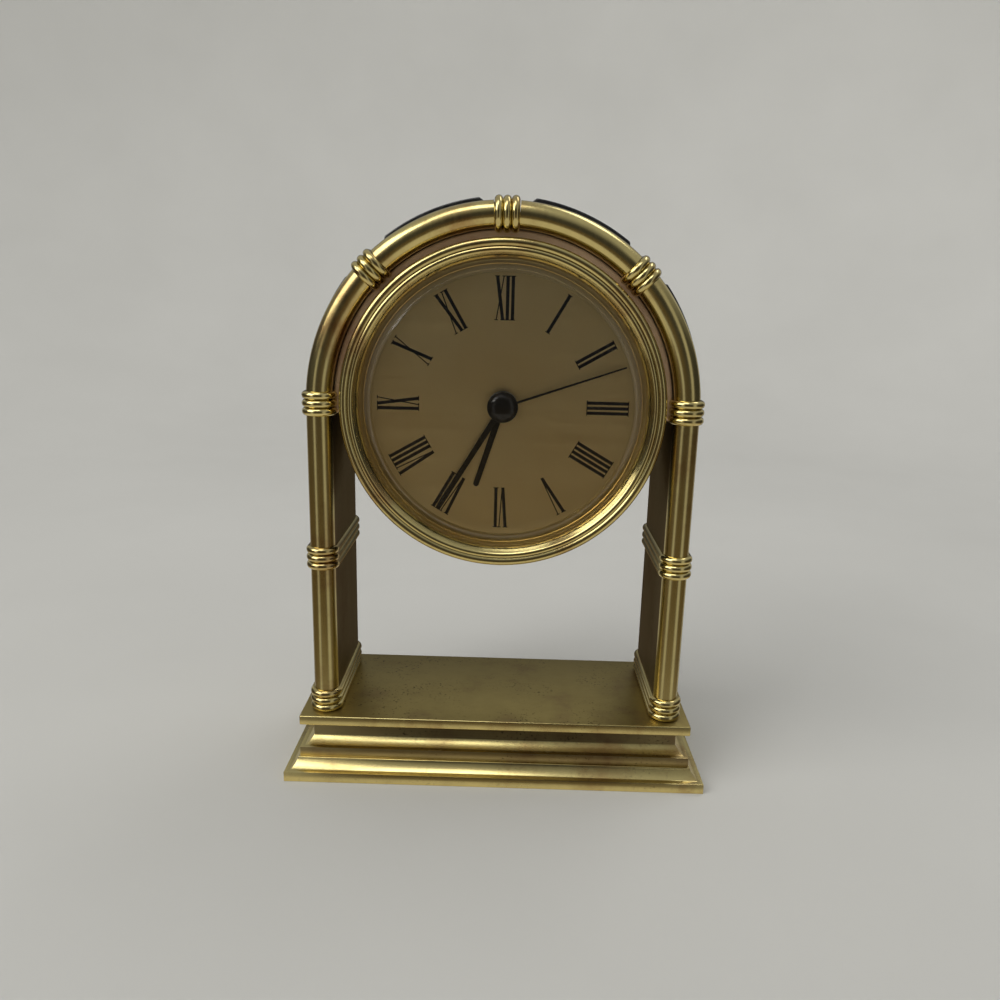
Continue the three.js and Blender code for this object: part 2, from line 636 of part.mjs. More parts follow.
const statorPosts = [[stator.left + STATOR_LIMB / 2, stator.bottom + STATOR_LIMB / 2],
  [stator.right - STATOR_LIMB / 2, stator.top - STATOR_LIMB / 2]]
  .map(([x, z]) => disc(POST_RADIUS, statorRear, caseFloor + 0.5, 16, x, z));
const boardPosts = [wheelRoomBottom + 5, wheelRoomTop - 5]
  .map((z) => disc(POST_RADIUS, boardRear, caseFloor + 0.5, 16, (boardLeft + boardRight) / 2, z));
const rearShell = cut(
  box(-caseWidth / 2, caseWidth / 2, plateRear, caseRear, CASE_BOTTOM, CASE_TOP),
  box(-roomHalf, roomHalf, plateRear - 1, caseFloor, batteryRoomBottom, batteryRoomTop),
  box(-roomHalf, roomHalf, plateRear - 1, caseFloor, wheelRoomBottom, wheelRoomTop),
  box(-openingHalf, openingHalf, caseFloor - 1, caseRear + 1, openingBottom, openingTop),
  disc(0.6 + CLEARANCE, caseFloor - 1, caseRear + 1, 16, ...settingAt),
);
add(head, 'movement_rear_case', join(rearShell, ...statorPosts, ...boardPosts), whitePlastic);

// Middle plate, with holes for the arbors that pass through it
const midPlate = outline([[-roomHalf + CLEARANCE, wheelRoomBottom + CLEARANCE],
  [roomHalf - CLEARANCE, wheelRoomBottom + CLEARANCE], [roomHalf - CLEARANCE, wheelRoomTop - CLEARANCE],
  [-roomHalf + CLEARANCE, wheelRoomTop - CLEARANCE]]);
const arborHoles = [[[0, 0], SECOND_ARBOR], [thirdAt, SECOND_ARBOR], [settingAt, 0.6]];
for (const [[x, z], radius] of arborHoles) {
  midPlate.holes.push(outline(circlePoints(radius + CLEARANCE, 16, x, z)));
}
add(head, 'movement_mid_plate', plate(midPlate, midPlateFront, midPlateRear), whitePlastic);

// Motor: coil, stator, circuit board
const coilZ = stator.top - CORE_WIDTH / 2;
const windowTop = stator.top - CORE_WIDTH;
const windowBottom = windowTop - WINDOW_HEIGHT;
const coilMid = (stator.left + stator.right) / 2;
const statorShape = outline([[stator.left, stator.bottom], [stator.right, stator.bottom],
  [stator.right, stator.top], [stator.left, stator.top]]);
const windowLeft = stator.left + STATOR_LIMB;
const windowRight = stator.right - STATOR_LIMB;
statorShape.holes.push(outline([[windowLeft, windowBottom], [windowRight, windowBottom],
  [windowRight, windowTop], [windowLeft, windowTop]]));
statorShape.holes.push(outline(circlePoints(ROTOR_RADIUS + 0.5, 20, ...rotorAt)));
add(head, 'motor_stator', plate(statorShape, statorFront, statorRear), steel);
const coilGeometry = new THREE.CylinderGeometry(COIL_RADIUS, COIL_RADIUS, COIL_LENGTH, 20);
coilGeometry.rotateZ(Math.PI / 2);
coilGeometry.translate(coilMid, rotorMid, coilZ);
add(head, 'motor_coil', cut(coilGeometry, box(coilMid - COIL_LENGTH, coilMid + COIL_LENGTH,
  statorFront - CLEARANCE, statorRear + CLEARANCE, windowTop - CLEARANCE, stator.top + CLEARANCE)), copper);
add(head, 'circuit_board', box(boardLeft, boardRight, boardFront, boardRear,
  wheelRoomBottom + 1.5, wheelRoomTop - 1.5), boardGreen);

// Battery, contacts and door
const batteryZ = (batteryRoomBottom + batteryRoomTop) / 2;
const batteryY = plateRear + BATTERY_RADIUS + 0.5;
const batteryBody = new THREE.LatheGeometry([
  [0, 0], [BATTERY_RADIUS, 0], [BATTERY_RADIUS, BATTERY_LENGTH], [BATTERY_NUB_RADIUS, BATTERY_LENGTH],
  [BATTERY_NUB_RADIUS, BATTERY_LENGTH + BATTERY_NUB_RISE], [0, BATTERY_LENGTH + BATTERY_NUB_RISE],
].map(([r, y]) => new THREE.Vector2(r, y)), 24);
batteryBody.rotateZ(-Math.PI / 2);
batteryBody.translate(-(BATTERY_LENGTH + BATTERY_NUB_RISE) / 2, batteryY, batteryZ);
add(head, 'battery', toGeometry(outward(toSolid(batteryBody), batteryBody)), steel);
const contactInner = (BATTERY_LENGTH + BATTERY_NUB_RISE) / 2 + CLEARANCE;
for (const [word, side] of [['minus', -1], ['plus', 1]]) {
  const faces = [side * contactInner, side * (contactInner + CONTACT_THICK)].sort((a, b) => a - b);
  add(head, `battery_contact_${word}`, box(faces[0], faces[1], batteryY - 4, batteryY + 4,
    batteryZ - 4, batteryZ + 4), steel);
}
add(head, 'battery_door', box(-openingHalf - DOOR_LAP, openingHalf + DOOR_LAP,
  caseRear, caseRear + DOOR_THICK, openingBottom - DOOR_LAP, openingTop + DOOR_LAP), whitePlastic);

// Wheels: each phase follows from the wheel that it meshes with
const motionPhase = meshPhase(radians(MOTION_DIRECTION), CANNON_TEETH, MOTION_TEETH,
  radians(MOTION_DIRECTION));
const settingPhase = meshPhase(motionPhase, MOTION_TEETH, SETTING_TEETH, radians(SETTING_DIRECTION));
const hourPhase = meshPhase(radians(MOTION_DIRECTION) + Math.PI, MOTION_PINION_TEETH, HOUR_TEETH,
  radians(MOTION_DIRECTION) + Math.PI);
const thirdPhase = meshPhase(radians(THIRD_DIRECTION), SECOND_PINION_TEETH, THIRD_TEETH,
  radians(THIRD_DIRECTION));
const centrePhase = meshPhase(radians(THIRD_DIRECTION) + Math.PI, THIRD_PINION_TEETH, CENTRE_TEETH,
  radians(THIRD_DIRECTION) + Math.PI);
const secondPhase = meshPhase(radians(INTERMEDIATE_DIRECTION) + Math.PI,
  INTERMEDIATE_PINION_TEETH, SECOND_TEETH, radians(INTERMEDIATE_DIRECTION) + Math.PI);
const intermediatePhase = meshPhase(radians(ROTOR_DIRECTION) + Math.PI,
  ROTOR_PINION_TEETH, INTERMEDIATE_TEETH, radians(ROTOR_DIRECTION) + Math.PI);

add(head, 'hour_wheel', join(
  gear(HOUR_TEETH, hourModule, hourPhase, hourPipeBore, layer(0), layerEnd(0)),
  tube(hourPipeRadius, hourPipeBore, hourHandFront, layerEnd(0), 16)), whitePlastic);
add(head, 'centre_wheel', join(
  gear(CENTRE_TEETH, centreModule, centrePhase, minutePipeBore, layer(2), layerEnd(2)),
  pinion(CANNON_TEETH, MOTION_MODULE, radians(MOTION_DIRECTION), minutePipeBore, 1),
  tube(minutePipeRadius, minutePipeBore, minuteHandFront, layerEnd(2), 16)), whitePlastic);
add(head, 'second_wheel', join(
  gear(SECOND_TEETH, SECOND_MODULE, secondPhase, 0, layer(4) + 0.45, layerEnd(4) + 0.45),
  pinion(SECOND_PINION_TEETH, THIRD_MODULE, radians(THIRD_DIRECTION), 0, 3),
  arbor(SECOND_ARBOR, secondHandRear, arborRear)), whitePlastic);
const place = (mesh, [x, z]) => mesh.position.set(x, 0, z);
place(add(head, 'motion_wheel', join(
  gear(MOTION_TEETH, MOTION_MODULE, motionPhase, motionBore, layer(1), layerEnd(1)),
  gear(MOTION_PINION_TEETH, hourModule, radians(MOTION_DIRECTION) + Math.PI, motionBore,
    layer(0) - PINION_OVERRUN, layer(1) + 0.2)), whitePlastic), motionAt);
place(add(head, 'third_wheel', join(
  gear(THIRD_TEETH, THIRD_MODULE, thirdPhase, 0, layer(3), layerEnd(3)),
  pinion(THIRD_PINION_TEETH, centreModule, radians(THIRD_DIRECTION) + Math.PI, 0, 2),
  arbor(SECOND_ARBOR, arborFront, arborRear)), whitePlastic), thirdAt);
place(add(head, 'intermediate_wheel', join(
  gear(INTERMEDIATE_TEETH, ROTOR_MODULE, intermediatePhase, 0, layer(5) + 0.45, layerEnd(5) + 0.45),
  gear(INTERMEDIATE_PINION_TEETH, SECOND_MODULE, radians(INTERMEDIATE_DIRECTION) + Math.PI, 0,
    layer(4) + 0.4, layerEnd(4) + 0.5),
  arbor(SECOND_ARBOR, midPlateRear + CLOSE_FIT, arborRear)), whitePlastic), intermediateAt);
place(add(head, 'motor_rotor', join(
  gear(ROTOR_PINION_TEETH, ROTOR_MODULE, radians(ROTOR_DIRECTION) + Math.PI, 0,
    layer(5) + 0.4, layerEnd(5) + 0.5),
  disc(ROTOR_RADIUS, rotorMid - ROTOR_LENGTH / 2, rotorMid + ROTOR_LENGTH / 2, 20),
  arbor(0.4, midPlateRear + CLOSE_FIT, arborRear)), steel), rotorAt);

// Setting knob: its pinion turns the motion wheel, so it goes round with the minute hand
const knobPoints = Array.from({ length: 2 * KNOB_FLUTES }, (_, i) => {
  const radius = i % 2 ? KNOB_RADIUS : KNOB_RADIUS - 0.35;
  return [radius * Math.cos(Math.PI * i / KNOB_FLUTES), radius * Math.sin(Math.PI * i / KNOB_FLUTES)];
});
place(add(head, 'setting_knob', join(
  pinion(SETTING_TEETH, MOTION_MODULE, settingPhase, 0, 1),
  arbor(0.6, arborFront, caseRear + 1.2),
  plate(outline(knobPoints), caseRear + 0.6, caseRear + 0.6 + KNOB_THICK)), blackMatt), settingAt);

// Hands: batons pointing at twelve, turned to the time shown
function hand(length, width, tipWidth, bossRadius, bore, front, rear) {
  const blade = outline([[-width / 2, 0], [width / 2, 0], [tipWidth / 2, length - tipWidth / 2],
    [0, length], [-tipWidth / 2, length - tipWidth / 2]]);
  const whole = join(plate(blade, front, rear), disc(bossRadius, front, rear));
  return bore > 0 ? cut(whole, disc(bore, front - 1, rear + 1, 16)) : whole;
}
add(head, 'hour_hand', hand(HOUR_LENGTH, HOUR_WIDTH, HOUR_WIDTH * 0.9, CAP_RADIUS - 0.4,
  hourPipeRadius + CLOSE_FIT, hourHandFront, hourHandRear), blackGloss).rotation.y = radians(HOUR_ANGLE);
add(head, 'minute_hand', hand(MINUTE_LENGTH, MINUTE_WIDTH, MINUTE_WIDTH * 0.8, CAP_RADIUS - 0.8,
  minutePipeRadius + CLOSE_FIT, minuteHandFront, minuteHandRear),
  blackGloss).rotation.y = radians(MINUTE_ANGLE);
add(head, 'second_hand', hand(SECOND_LENGTH, SECOND_WIDTH, SECOND_WIDTH * 0.6, CAP_RADIUS - 1.6,
  0, secondHandFront, secondHandRear), blackGloss).rotation.y = radians(SECOND_ANGLE);
add(head, 'hub_cap', turned([
  [0, secondHandFront], [CAP_RADIUS, secondHandFront], [CAP_RADIUS, secondHandFront - 0.4],
  [CAP_RADIUS - 0.45, secondHandFront - 0.5], [CAP_RADIUS - 0.8, secondHandFront - 0.55 * CAP_RISE],
  [CAP_RADIUS * 0.5, secondHandFront - 0.88 * CAP_RISE], [0, secondHandFront - CAP_RISE],
], 32), blackGloss);

export default clock;
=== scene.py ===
import math

import bmesh
import bpy
from mathutils import Matrix, Vector


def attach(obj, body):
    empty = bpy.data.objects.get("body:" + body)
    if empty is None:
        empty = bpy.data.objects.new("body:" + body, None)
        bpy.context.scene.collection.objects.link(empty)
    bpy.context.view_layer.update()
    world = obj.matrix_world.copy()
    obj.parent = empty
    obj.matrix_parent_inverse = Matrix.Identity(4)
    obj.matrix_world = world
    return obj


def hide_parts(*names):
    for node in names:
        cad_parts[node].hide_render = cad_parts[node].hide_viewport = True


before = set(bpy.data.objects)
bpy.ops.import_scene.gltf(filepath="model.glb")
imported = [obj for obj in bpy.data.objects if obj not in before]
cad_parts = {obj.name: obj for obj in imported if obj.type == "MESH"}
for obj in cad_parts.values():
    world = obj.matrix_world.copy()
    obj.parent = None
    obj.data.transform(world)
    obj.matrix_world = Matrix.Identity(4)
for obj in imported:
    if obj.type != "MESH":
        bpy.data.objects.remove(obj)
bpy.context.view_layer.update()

# Camera: a phone's wide lens held close to the clock, a little above the dial,
# looking down at it and turned slightly to one side.
camera_data = bpy.data.cameras.new("camera")
camera_data.sensor_width = 36.0
camera_data.lens = 30.149
camera_data.clip_start = 0.01
camera = bpy.data.objects.new("camera", camera_data)
bpy.context.scene.collection.objects.link(camera)
bpy.context.scene.camera = camera
camera_yaw = -0.011186
camera_pitch = 0.241496
camera_roll = 0.024455
ahead = Vector((math.sin(camera_yaw), math.cos(camera_yaw), 0))
level_right = Vector((math.cos(camera_yaw), -math.sin(camera_yaw), 0))
upright = Vector((0, 0, 1))
look = math.cos(camera_pitch) * ahead - math.sin(camera_pitch) * upright
rise = math.sin(camera_pitch) * ahead + math.cos(camera_pitch) * upright
camera_right = math.cos(camera_roll) * level_right + math.sin(camera_roll) * rise
camera_top = -math.sin(camera_roll) * level_right + math.cos(camera_roll) * rise
camera_turn = Matrix((camera_right, camera_top, -look)).transposed()
camera_place = Matrix.Translation((0.002561, -0.252577, 0.145184))
camera.matrix_world = camera_place @ camera_turn.to_4x4()

# Base: three milled brass tiers stacked and screwed together. The coves and the plates' edges
# are polished, the middle tier's upright faces are a darker, browner brass, and the top is satin
# and speckled, its colour darkened with painted shade.
# Sizes in this file are in millimetres, and a finished piece is scaled to metres.
BASE_HALF_WIDTH = 63.5
BASE_HALF_DEPTH = 27.35
BOTTOM_PLATE_TOP = 3.15
LOWER_COVE_TOP = 6.3
FILLET_TOP = 9.35
UPPER_COVE_TOP = 11.8
NECK_TOP = 16.7
BASE_TOP = 19.65
LOWER_COVE_FOOT = 1.6
LOWER_COVE_HEAD = 3.8
FILLET_INSET = 4.2
UPPER_COVE_FOOT = 5.4
NECK_INSET = 7.85
TOP_PLATE_INSET = 4.26
TIER_EDGE = 0.2
TOP_PLATE_EDGE = 0.35
COVE_STEPS = 10
COVE_HOLLOW = 0.35
LEAST_UPRIGHT = 1.5
SHARP_EDGE = math.radians(35)
MERGE = 0.0005
TO_METRES = (0.001, 0.001, 0.001)


def node(tree, kind, feeds=None, **settings):
    """A shader node with its settings and what feeds its sockets: a value or another node's output."""
    made = tree.nodes.new("ShaderNode" + kind)
    for name, value in settings.items():
        setattr(made, name, value)
    for socket, value in (feeds or {}).items():
        if isinstance(value, bpy.types.NodeSocket):
            tree.links.new(value, made.inputs[socket])
        else:
            made.inputs[socket].default_value = value
    return made


def ramp(tree, factor, stops):
    """A colour ramp from a list of (place, colour)."""
    made = node(tree, "ValToRGB", {"Fac": factor})
    elements = made.color_ramp.elements
    while len(elements) < len(stops):
        elements.new(0.5)
    for element, (place, colour) in zip(elements, stops):
        element.position = place
        element.color = (*colour, 1)
    return made.outputs["Color"]


def mixed(tree, factor, first, second, blend="MIX"):
    """One colour going over into another."""
    feeds = {"Fac": factor, "Color1": first, "Color2": second}
    return node(tree, "MixRGB", feeds, blend_type=blend).outputs["Color"]


def spread(tree, factor, low, high):
    """A factor from 0 to 1 laid out between two values."""
    return node(tree, "MapRange", {"Value": factor, "To Min": low, "To Max": high}).outputs["Result"]


def new_material(name):
    """An empty node material: its tree, its principled shader and its object coordinates."""
    material = bpy.data.materials.new(name)
    material.use_nodes = True
    tree = material.node_tree
    shader = shader_of(material)
    place = tree.nodes.new("ShaderNodeTexCoord").outputs["Object"]
    return material, tree, shader, place


def shader_of(material):
    """The principled shader of a finish."""
    return material.node_tree.nodes["Principled BSDF"]


def noise(tree, place, scale, detail=3.0, roughness=0.55):
    """The grey value of a noise with so many cells to the metre."""
    feeds = {"Vector": place, "Scale": scale, "Detail": detail, "Roughness": roughness}
    return node(tree, "TexNoise", feeds).outputs["Fac"]


def stretched(tree, place, scale):
    """Coordinates scaled apart along the three axes, for brushed and drawn lines."""
    return node(tree, "Mapping", {"Vector": place, "Scale": scale}).outputs["Vector"]


def bumped(tree, shader, height, strength, distance):
    """A fine relief from a grey value, its depth in metres."""
    relief = node(tree, "Bump", {"Strength": strength, "Distance": distance, "Height": height})
    tree.links.new(relief.outputs["Normal"], shader.inputs["Normal"])


def brass(name, bright, tarnished, smooth, rough, drawn, lines=0.3, specks=0.0):
    """Old polished brass: bright metal with tarnish in clouds, drawn lines and fine dark specks."""
    material, tree, shader, place = new_material(name)
    cloud = noise(tree, place, 42.0, 8.0, 0.66)
    dulled = tuple(0.9 * part for part in bright)
    colour = ramp(tree, cloud, [(0.38, bright), (0.52, dulled), (0.70, tarnished)])
    if specks:
        speck = noise(tree, place, 1300.0, 2.0, 0.5)
        dark = tuple(0.35 * part for part in tarnished)
        mark = ramp(tree, speck, [(0.0, (1, 1, 1)), (0.61, (1, 1, 1)), (0.69, (0, 0, 0))])
        patch = ramp(tree, noise(tree, place, 60.0, 3.0), [(0.42, (0, 0, 0)), (0.62, (specks,) * 3)])
        share = mixed(tree, patch, (1, 1, 1, 1), mark)
        colour = mixed(tree, share, (*dark, 1), colour)
    line = noise(tree, stretched(tree, place, drawn), 1.0, 2.0, 0.6)
    tree.links.new(colour, shader.inputs["Base Color"])
    haze = node(tree, "Math", {0: cloud, 1: line}, operation="MULTIPLY").outputs["Value"]
    tree.links.new(spread(tree, haze, smooth, rough), shader.inputs["Roughness"])
    bumped(tree, shader, line, lines, 0.00002)
    shader.inputs["Metallic"].default_value = 1.0
    return material


def finished(bm, name, body, material, slot, *nodes, second=None):
    """The mesh as a piece on a body: doubles merged, faces outward, smooth between its sharp edges."""
    bmesh.ops.remove_doubles(bm, verts=bm.verts, dist=MERGE)
    bmesh.ops.recalc_face_normals(bm, faces=bm.faces)
    for face in bm.faces:
        face.smooth = True
    for edge in bm.edges:
        edge.smooth = len(edge.link_faces) == 2 and edge.calc_face_angle() < SHARP_EDGE
    bmesh.ops.scale(bm, vec=TO_METRES, verts=bm.verts)
    mesh = bpy.data.meshes.new(name)
    bm.to_mesh(mesh)
    bm.free()
    piece = bpy.data.objects.new(name, mesh)
    bpy.context.scene.collection.objects.link(piece)
    mesh.materials.append(material)
    if second:
        mesh.materials.append(second)
    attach(piece, body)
    if nodes:
        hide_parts(*nodes)


def rounded(bm, edges, width, segments):
    """Edges rolled over by a width."""
    bmesh.ops.bevel(bm, geom=edges, offset=width, offset_type="OFFSET", segments=segments,
                    profile=0.5, affect="EDGES", clamp_overlap=True, material=-1)


def broken_edges(bm, width, segments=2):
    """A small rounding along every sharp edge."""
    sharp = [edge for edge in bm.edges
             if len(edge.link_faces) == 2 and edge.calc_face_angle() > SHARP_EDGE]
    rounded(bm, sharp, width, segments)


def cove(foot_inset, foot_z, head_inset, head_z):
    """The levels of a shallow hollow slope from its foot to its head."""
    levels = []
    for step in range(COVE_STEPS + 1):
        share = step / COVE_STEPS
        inward = share + COVE_HOLLOW * (math.sin(share * math.pi / 2) - share)
        upward = share + COVE_HOLLOW * (1 - math.cos(share * math.pi / 2) - share)
        inset = foot_inset + (head_inset - foot_inset) * inward
        levels.append((inset, foot_z + (head_z - foot_z) * upward))
    return levels


def moulded_tier(levels):
    """A rectangular block drawn up level by level, each an inset from the base's edge and a height."""
    bm = bmesh.new()
    bmesh.ops.create_grid(bm, x_segments=1, y_segments=1, size=1)
    top = bm.faces[:]
    level_verts = bm.verts[:]
    for number, (inset, height) in enumerate(levels):
        if number:
            grown = bmesh.ops.extrude_face_region(bm, geom=top)["geom"]
            if number > 1:
                bmesh.ops.delete(bm, geom=top, context="FACES_ONLY")
            top = [part for part in grown if isinstance(part, bmesh.types.BMFace)]
            level_verts = [part for part in grown if isinstance(part, bmesh.types.BMVert)]
        for vert in level_verts:
            vert.co = (math.copysign(BASE_HALF_WIDTH - inset, vert.co.x),
                       math.copysign(BASE_HALF_DEPTH - inset, vert.co.y), height)
    return bm


def sides_apart(bm):
    """The upright faces given the second finish."""
    bmesh.ops.recalc_face_normals(bm, faces=bm.faces)
    for face in bm.faces:
        heights = [vert.co.z for vert in face.verts]
        if abs(face.normal.z) < 0.01 and max(heights) - min(heights) > LEAST_UPRIGHT:
            face.material_index = 1


BRASS_BRIGHT = (0.68, 0.57, 0.25)
BRASS_TARNISHED = (0.40, 0.27, 0.11)
base_brass = brass("base_brass", BRASS_BRIGHT, BRASS_TARNISHED, 0.17, 0.46, (30, 700, 700), 0.3, 0.4)
# The middle tier's upright faces take a darker, browner brass than its coves and edges.
brown_brass = brass("dark_upright_brass", (0.42, 0.33, 0.15), (0.24, 0.16, 0.08), 0.24, 0.55,
                    (40, 700, 700), 0.4, 0.8)
# The top face's brass is darker than its edges': painted shade put into its colour. Its satin gloss and
# specks are its own.
painted_shade_top_brass = brass("top_plate_painted_shade_brass", (0.40, 0.315, 0.115), (0.26, 0.18, 0.08), 0.34, 0.62,
                  (40, 1200, 900), 0.5, 1.0)

bm = moulded_tier([(0, 0), (0, BOTTOM_PLATE_TOP),
                   *cove(LOWER_COVE_FOOT, BOTTOM_PLATE_TOP, LOWER_COVE_HEAD, LOWER_COVE_TOP)])
broken_edges(bm, TIER_EDGE)
finished(bm, "base_bottom_plate_brass", "clock_frame", base_brass, "brass_polished", "base_bottom_plate")
bm = moulded_tier([(FILLET_INSET, LOWER_COVE_TOP), (FILLET_INSET, FILLET_TOP),
                   *cove(UPPER_COVE_FOOT, FILLET_TOP, NECK_INSET, UPPER_COVE_TOP), (NECK_INSET, NECK_TOP)])
sides_apart(bm)
broken_edges(bm, TIER_EDGE)
finished(bm, "base_mid_tier_brass", "clock_frame", base_brass, "brass_polished", "base_mid_tier",
         second=brown_brass)
bm = moulded_tier([(TOP_PLATE_INSET, NECK_TOP), (TOP_PLATE_INSET, BASE_TOP)])
sides_apart(bm)
broken_edges(bm, TOP_PLATE_EDGE, 3)
finished(bm, "base_top_plate_brass", "clock_frame", painted_shade_top_brass, "brass_satin", "base_top_plate",
         second=base_brass)

# Arch bars: drawn flat brass bar with half-round front and rear edges. Two straight lengths
# make each leg and two bent lengths each side of the bow, butted at the collars.
ARCH_CENTRE = 113.95
ARCH_MID_RADIUS = 52.05
BAR_ROUND = 3.7
BAR_FLAT = 16.0
BAR_SEGMENTS = 48
BOW_STEPS = 28
COLLAR_HALF = 3.45
FOOT_COLLAR_Z = 23.1
MID_COLLAR_Z = 68.525
arch_middle = Vector((0, 0, ARCH_CENTRE))
ARCH_TARNISHED = (0.42, 0.27, 0.11)
arch_brass = brass("arch_brass", BRASS_BRIGHT, ARCH_TARNISHED, 0.15, 0.40, (600, 600, 25), 0.2)
# The inner flats get a darker, greyer brass and specular tint than the fronts: painted shade and a painted
# reflection of the grey wall in shade between the legs, over tarnish clouds that are its own.
painted_shade_flat_brass = brass("bar_flat_brass", (0.33, 0.285, 0.20), (0.24, 0.185, 0.13), 0.28, 0.55,
                   (300, 300, 25), 0.3, 0.4)
shader_of(painted_shade_flat_brass).inputs["Specular Tint"].default_value = (0.45, 0.40, 0.32, 1)


def flattened(bm):
    """A round section drawn out into a flat bar: its front and rear halves moved apart."""
    for vert in bm.verts:
        if abs(vert.co.y) > 0.01:
            vert.co.y += math.copysign(BAR_FLAT, vert.co.y)


def capped(bm):
    """The open ends closed, and the inner flat given the second finish, brass darkened as painted shade."""
    rim = [edge for edge in bm.edges if len(edge.link_faces) == 1]
    bmesh.ops.holes_fill(bm, edges=rim, sides=0)
    for face in bm.faces:
        depths = [vert.co.y for vert in face.verts]
        middle = face.calc_center_median()
        from_axis = math.hypot(middle.x, max(middle.z - ARCH_CENTRE, 0))
        if max(depths) - min(depths) > BAR_FLAT and from_axis < ARCH_MID_RADIUS - 1:
            face.material_index = 1


def bar_section():
    """The outline of the bar, centred on the leg's axis."""
    bm = bmesh.new()
    half_step = Matrix.Rotation(math.pi / BAR_SEGMENTS, 4, "Z")
    bmesh.ops.create_circle(bm, cap_ends=False, radius=BAR_ROUND, segments=BAR_SEGMENTS, matrix=half_step)
    flattened(bm)
    return bm


def leg_bar(side, low, high):
    """A straight bar between two heights."""
    bm = bar_section()
    bmesh.ops.translate(bm, verts=bm.verts, vec=(side * ARCH_MID_RADIUS, 0, low))
    drawn = bmesh.ops.extrude_edge_only(bm, edges=bm.edges)["geom"]
    raised = [part for part in drawn if isinstance(part, bmesh.types.BMVert)]
    bmesh.ops.translate(bm, verts=raised, vec=(0, 0, high - low))
    capped(bm)
    return bm


def bow_bar(side, start, end):
    """A bent bar between two angles above the springing, in radians."""
    bm = bar_section()
    bmesh.ops.translate(bm, verts=bm.verts, vec=(side * ARCH_MID_RADIUS, 0, ARCH_CENTRE))
    turn = Matrix.Rotation(-side * start, 3, "Y")
    bmesh.ops.rotate(bm, verts=bm.verts, cent=arch_middle, matrix=turn)
    bmesh.ops.spin(bm, geom=bm.verts[:] + bm.edges[:], cent=arch_middle, axis=(0, 1, 0),
                   angle=-side * (end - start), steps=BOW_STEPS, use_merge=False)
    capped(bm)
    return bm


collar_angle = COLLAR_HALF / ARCH_MID_RADIUS
for word, side in (("left", -1), ("right", 1)):
    bars = {
        "leg_lower_bar": leg_bar(side, FOOT_COLLAR_Z + COLLAR_HALF, MID_COLLAR_Z - COLLAR_HALF),
        "leg_upper_bar": leg_bar(side, MID_COLLAR_Z + COLLAR_HALF, ARCH_CENTRE - COLLAR_HALF),
        "bow_lower_bar": bow_bar(side, collar_angle, math.pi / 4 - collar_angle),
        "bow_upper_bar": bow_bar(side, math.pi / 4 + collar_angle, math.pi / 2 - collar_angle),
    }
    for place, bm in bars.items():
        finished(bm, f"{word}_{place}_brass", "clock_frame", arch_brass, "brass_polished",
                 f"{word}_{place}", second=painted_shade_flat_brass)

# Collars: turned-looking brass ferrules of three beads, cast to the bar's section and slid
# over its joints at the foot, the middle, the springing, the shoulders and the crown.
BEAD_PITCH = 2.3
BEAD_PROUD = 1.15
BEAD_STEPS = 10
COLLAR_WALL = 0.05
collar_brass = brass("collar_brass", BRASS_BRIGHT, ARCH_TARNISHED, 0.12, 0.32, (500, 500, 500), 0.15)


def collar(place):
    """A three-bead collar along +Z, set by a matrix."""
    bm = bmesh.new()
    seat = BAR_ROUND + COLLAR_WALL
    outline = [(0, -COLLAR_HALF), (seat, -COLLAR_HALF)]
    for middle in (-BEAD_PITCH, 0, BEAD_PITCH):
        for step in range(1, BEAD_STEPS):
            turn = math.pi * step / BEAD_STEPS
            outline.append((seat + BEAD_PROUD * math.sin(turn), middle - BEAD_PROUD * math.cos(turn)))
        outline.append((seat, middle + BEAD_PROUD))
    outline.append((0, COLLAR_HALF))
    verts = [bm.verts.new((radius, 0, height)) for radius, height in outline]
    edges = [bm.edges.new(pair) for pair in zip(verts, verts[1:])]
    half_step = Matrix.Rotation(math.pi / BAR_SEGMENTS, 3, "Z")
    bmesh.ops.rotate(bm, verts=bm.verts, cent=(0, 0, 0), matrix=half_step)
    bmesh.ops.spin(bm, geom=verts + edges, cent=(0, 0, 0), axis=(0, 0, 1), angle=math.tau,
                   steps=BAR_SEGMENTS, use_merge=True)
    bmesh.ops.remove_doubles(bm, verts=bm.verts, dist=MERGE)
    flattened(bm)
    bmesh.ops.transform(bm, verts=bm.verts, matrix=place)
    return bm


def arch_place(side, angle):
    """The matrix that sets a collar on the bow at an angle above the springing."""
    turn = Matrix.Rotation(-side * angle, 4, "Y")
    return Matrix.Translation(arch_middle) @ turn @ Matrix.Translation((side * ARCH_MID_RADIUS, 0, 0))


for word, side in (("left", -1), ("right", 1)):
    places = {
        "foot": Matrix.Translation((side * ARCH_MID_RADIUS, 0, FOOT_COLLAR_Z)),
        "mid": Matrix.Translation((side * ARCH_MID_RADIUS, 0, MID_COLLAR_Z)),
        "spring": arch_place(side, 0),
        "shoulder": arch_place(side, math.pi / 4),
    }
    for place, matrix in places.items():
        finished(collar(matrix), f"{word}_{place}_collar_brass", "clock_frame", collar_brass,
                 "brass_polished", f"{word}_{place}_collar")
finished(collar(arch_place(1, math.pi / 2)), "crown_collar_brass", "clock_frame", collar_brass,
         "brass_polished", "crown_collar")

# Panels: thin strips of black lacquered plastic bent to the bow and stuck to the outside of
# the arch, one between each two collars, with sloped ends.
PANEL_INNER = 55.75
PANEL_OUTER = 58.15
PANEL_HALF_DEPTH = 3.5
PANEL_MARGIN = 1.5
PANEL_SLOPE = 2.6
PANEL_STEPS = 30
PANEL_EDGE = 0.4
black_lacquer, tree, shader, place = new_material("black_lacquer")
dust = noise(tree, place, 300.0, 4.0, 0.7)
tree.links.new(ramp(tree, dust, [(0.4, (0.008, 0.009, 0.012)), (0.75, (0.028, 0.029, 0.031))]),
               shader.inputs["Base Color"])
tree.links.new(spread(tree, dust, 0.10, 0.30), shader.inputs["Roughness"])
bumped(tree, shader, noise(tree, place, 90.0, 2.0), 0.1, 0.0002)
shader.inputs["Coat Weight"].default_value = 0.5
shader.inputs["Coat Roughness"].default_value = 0.06


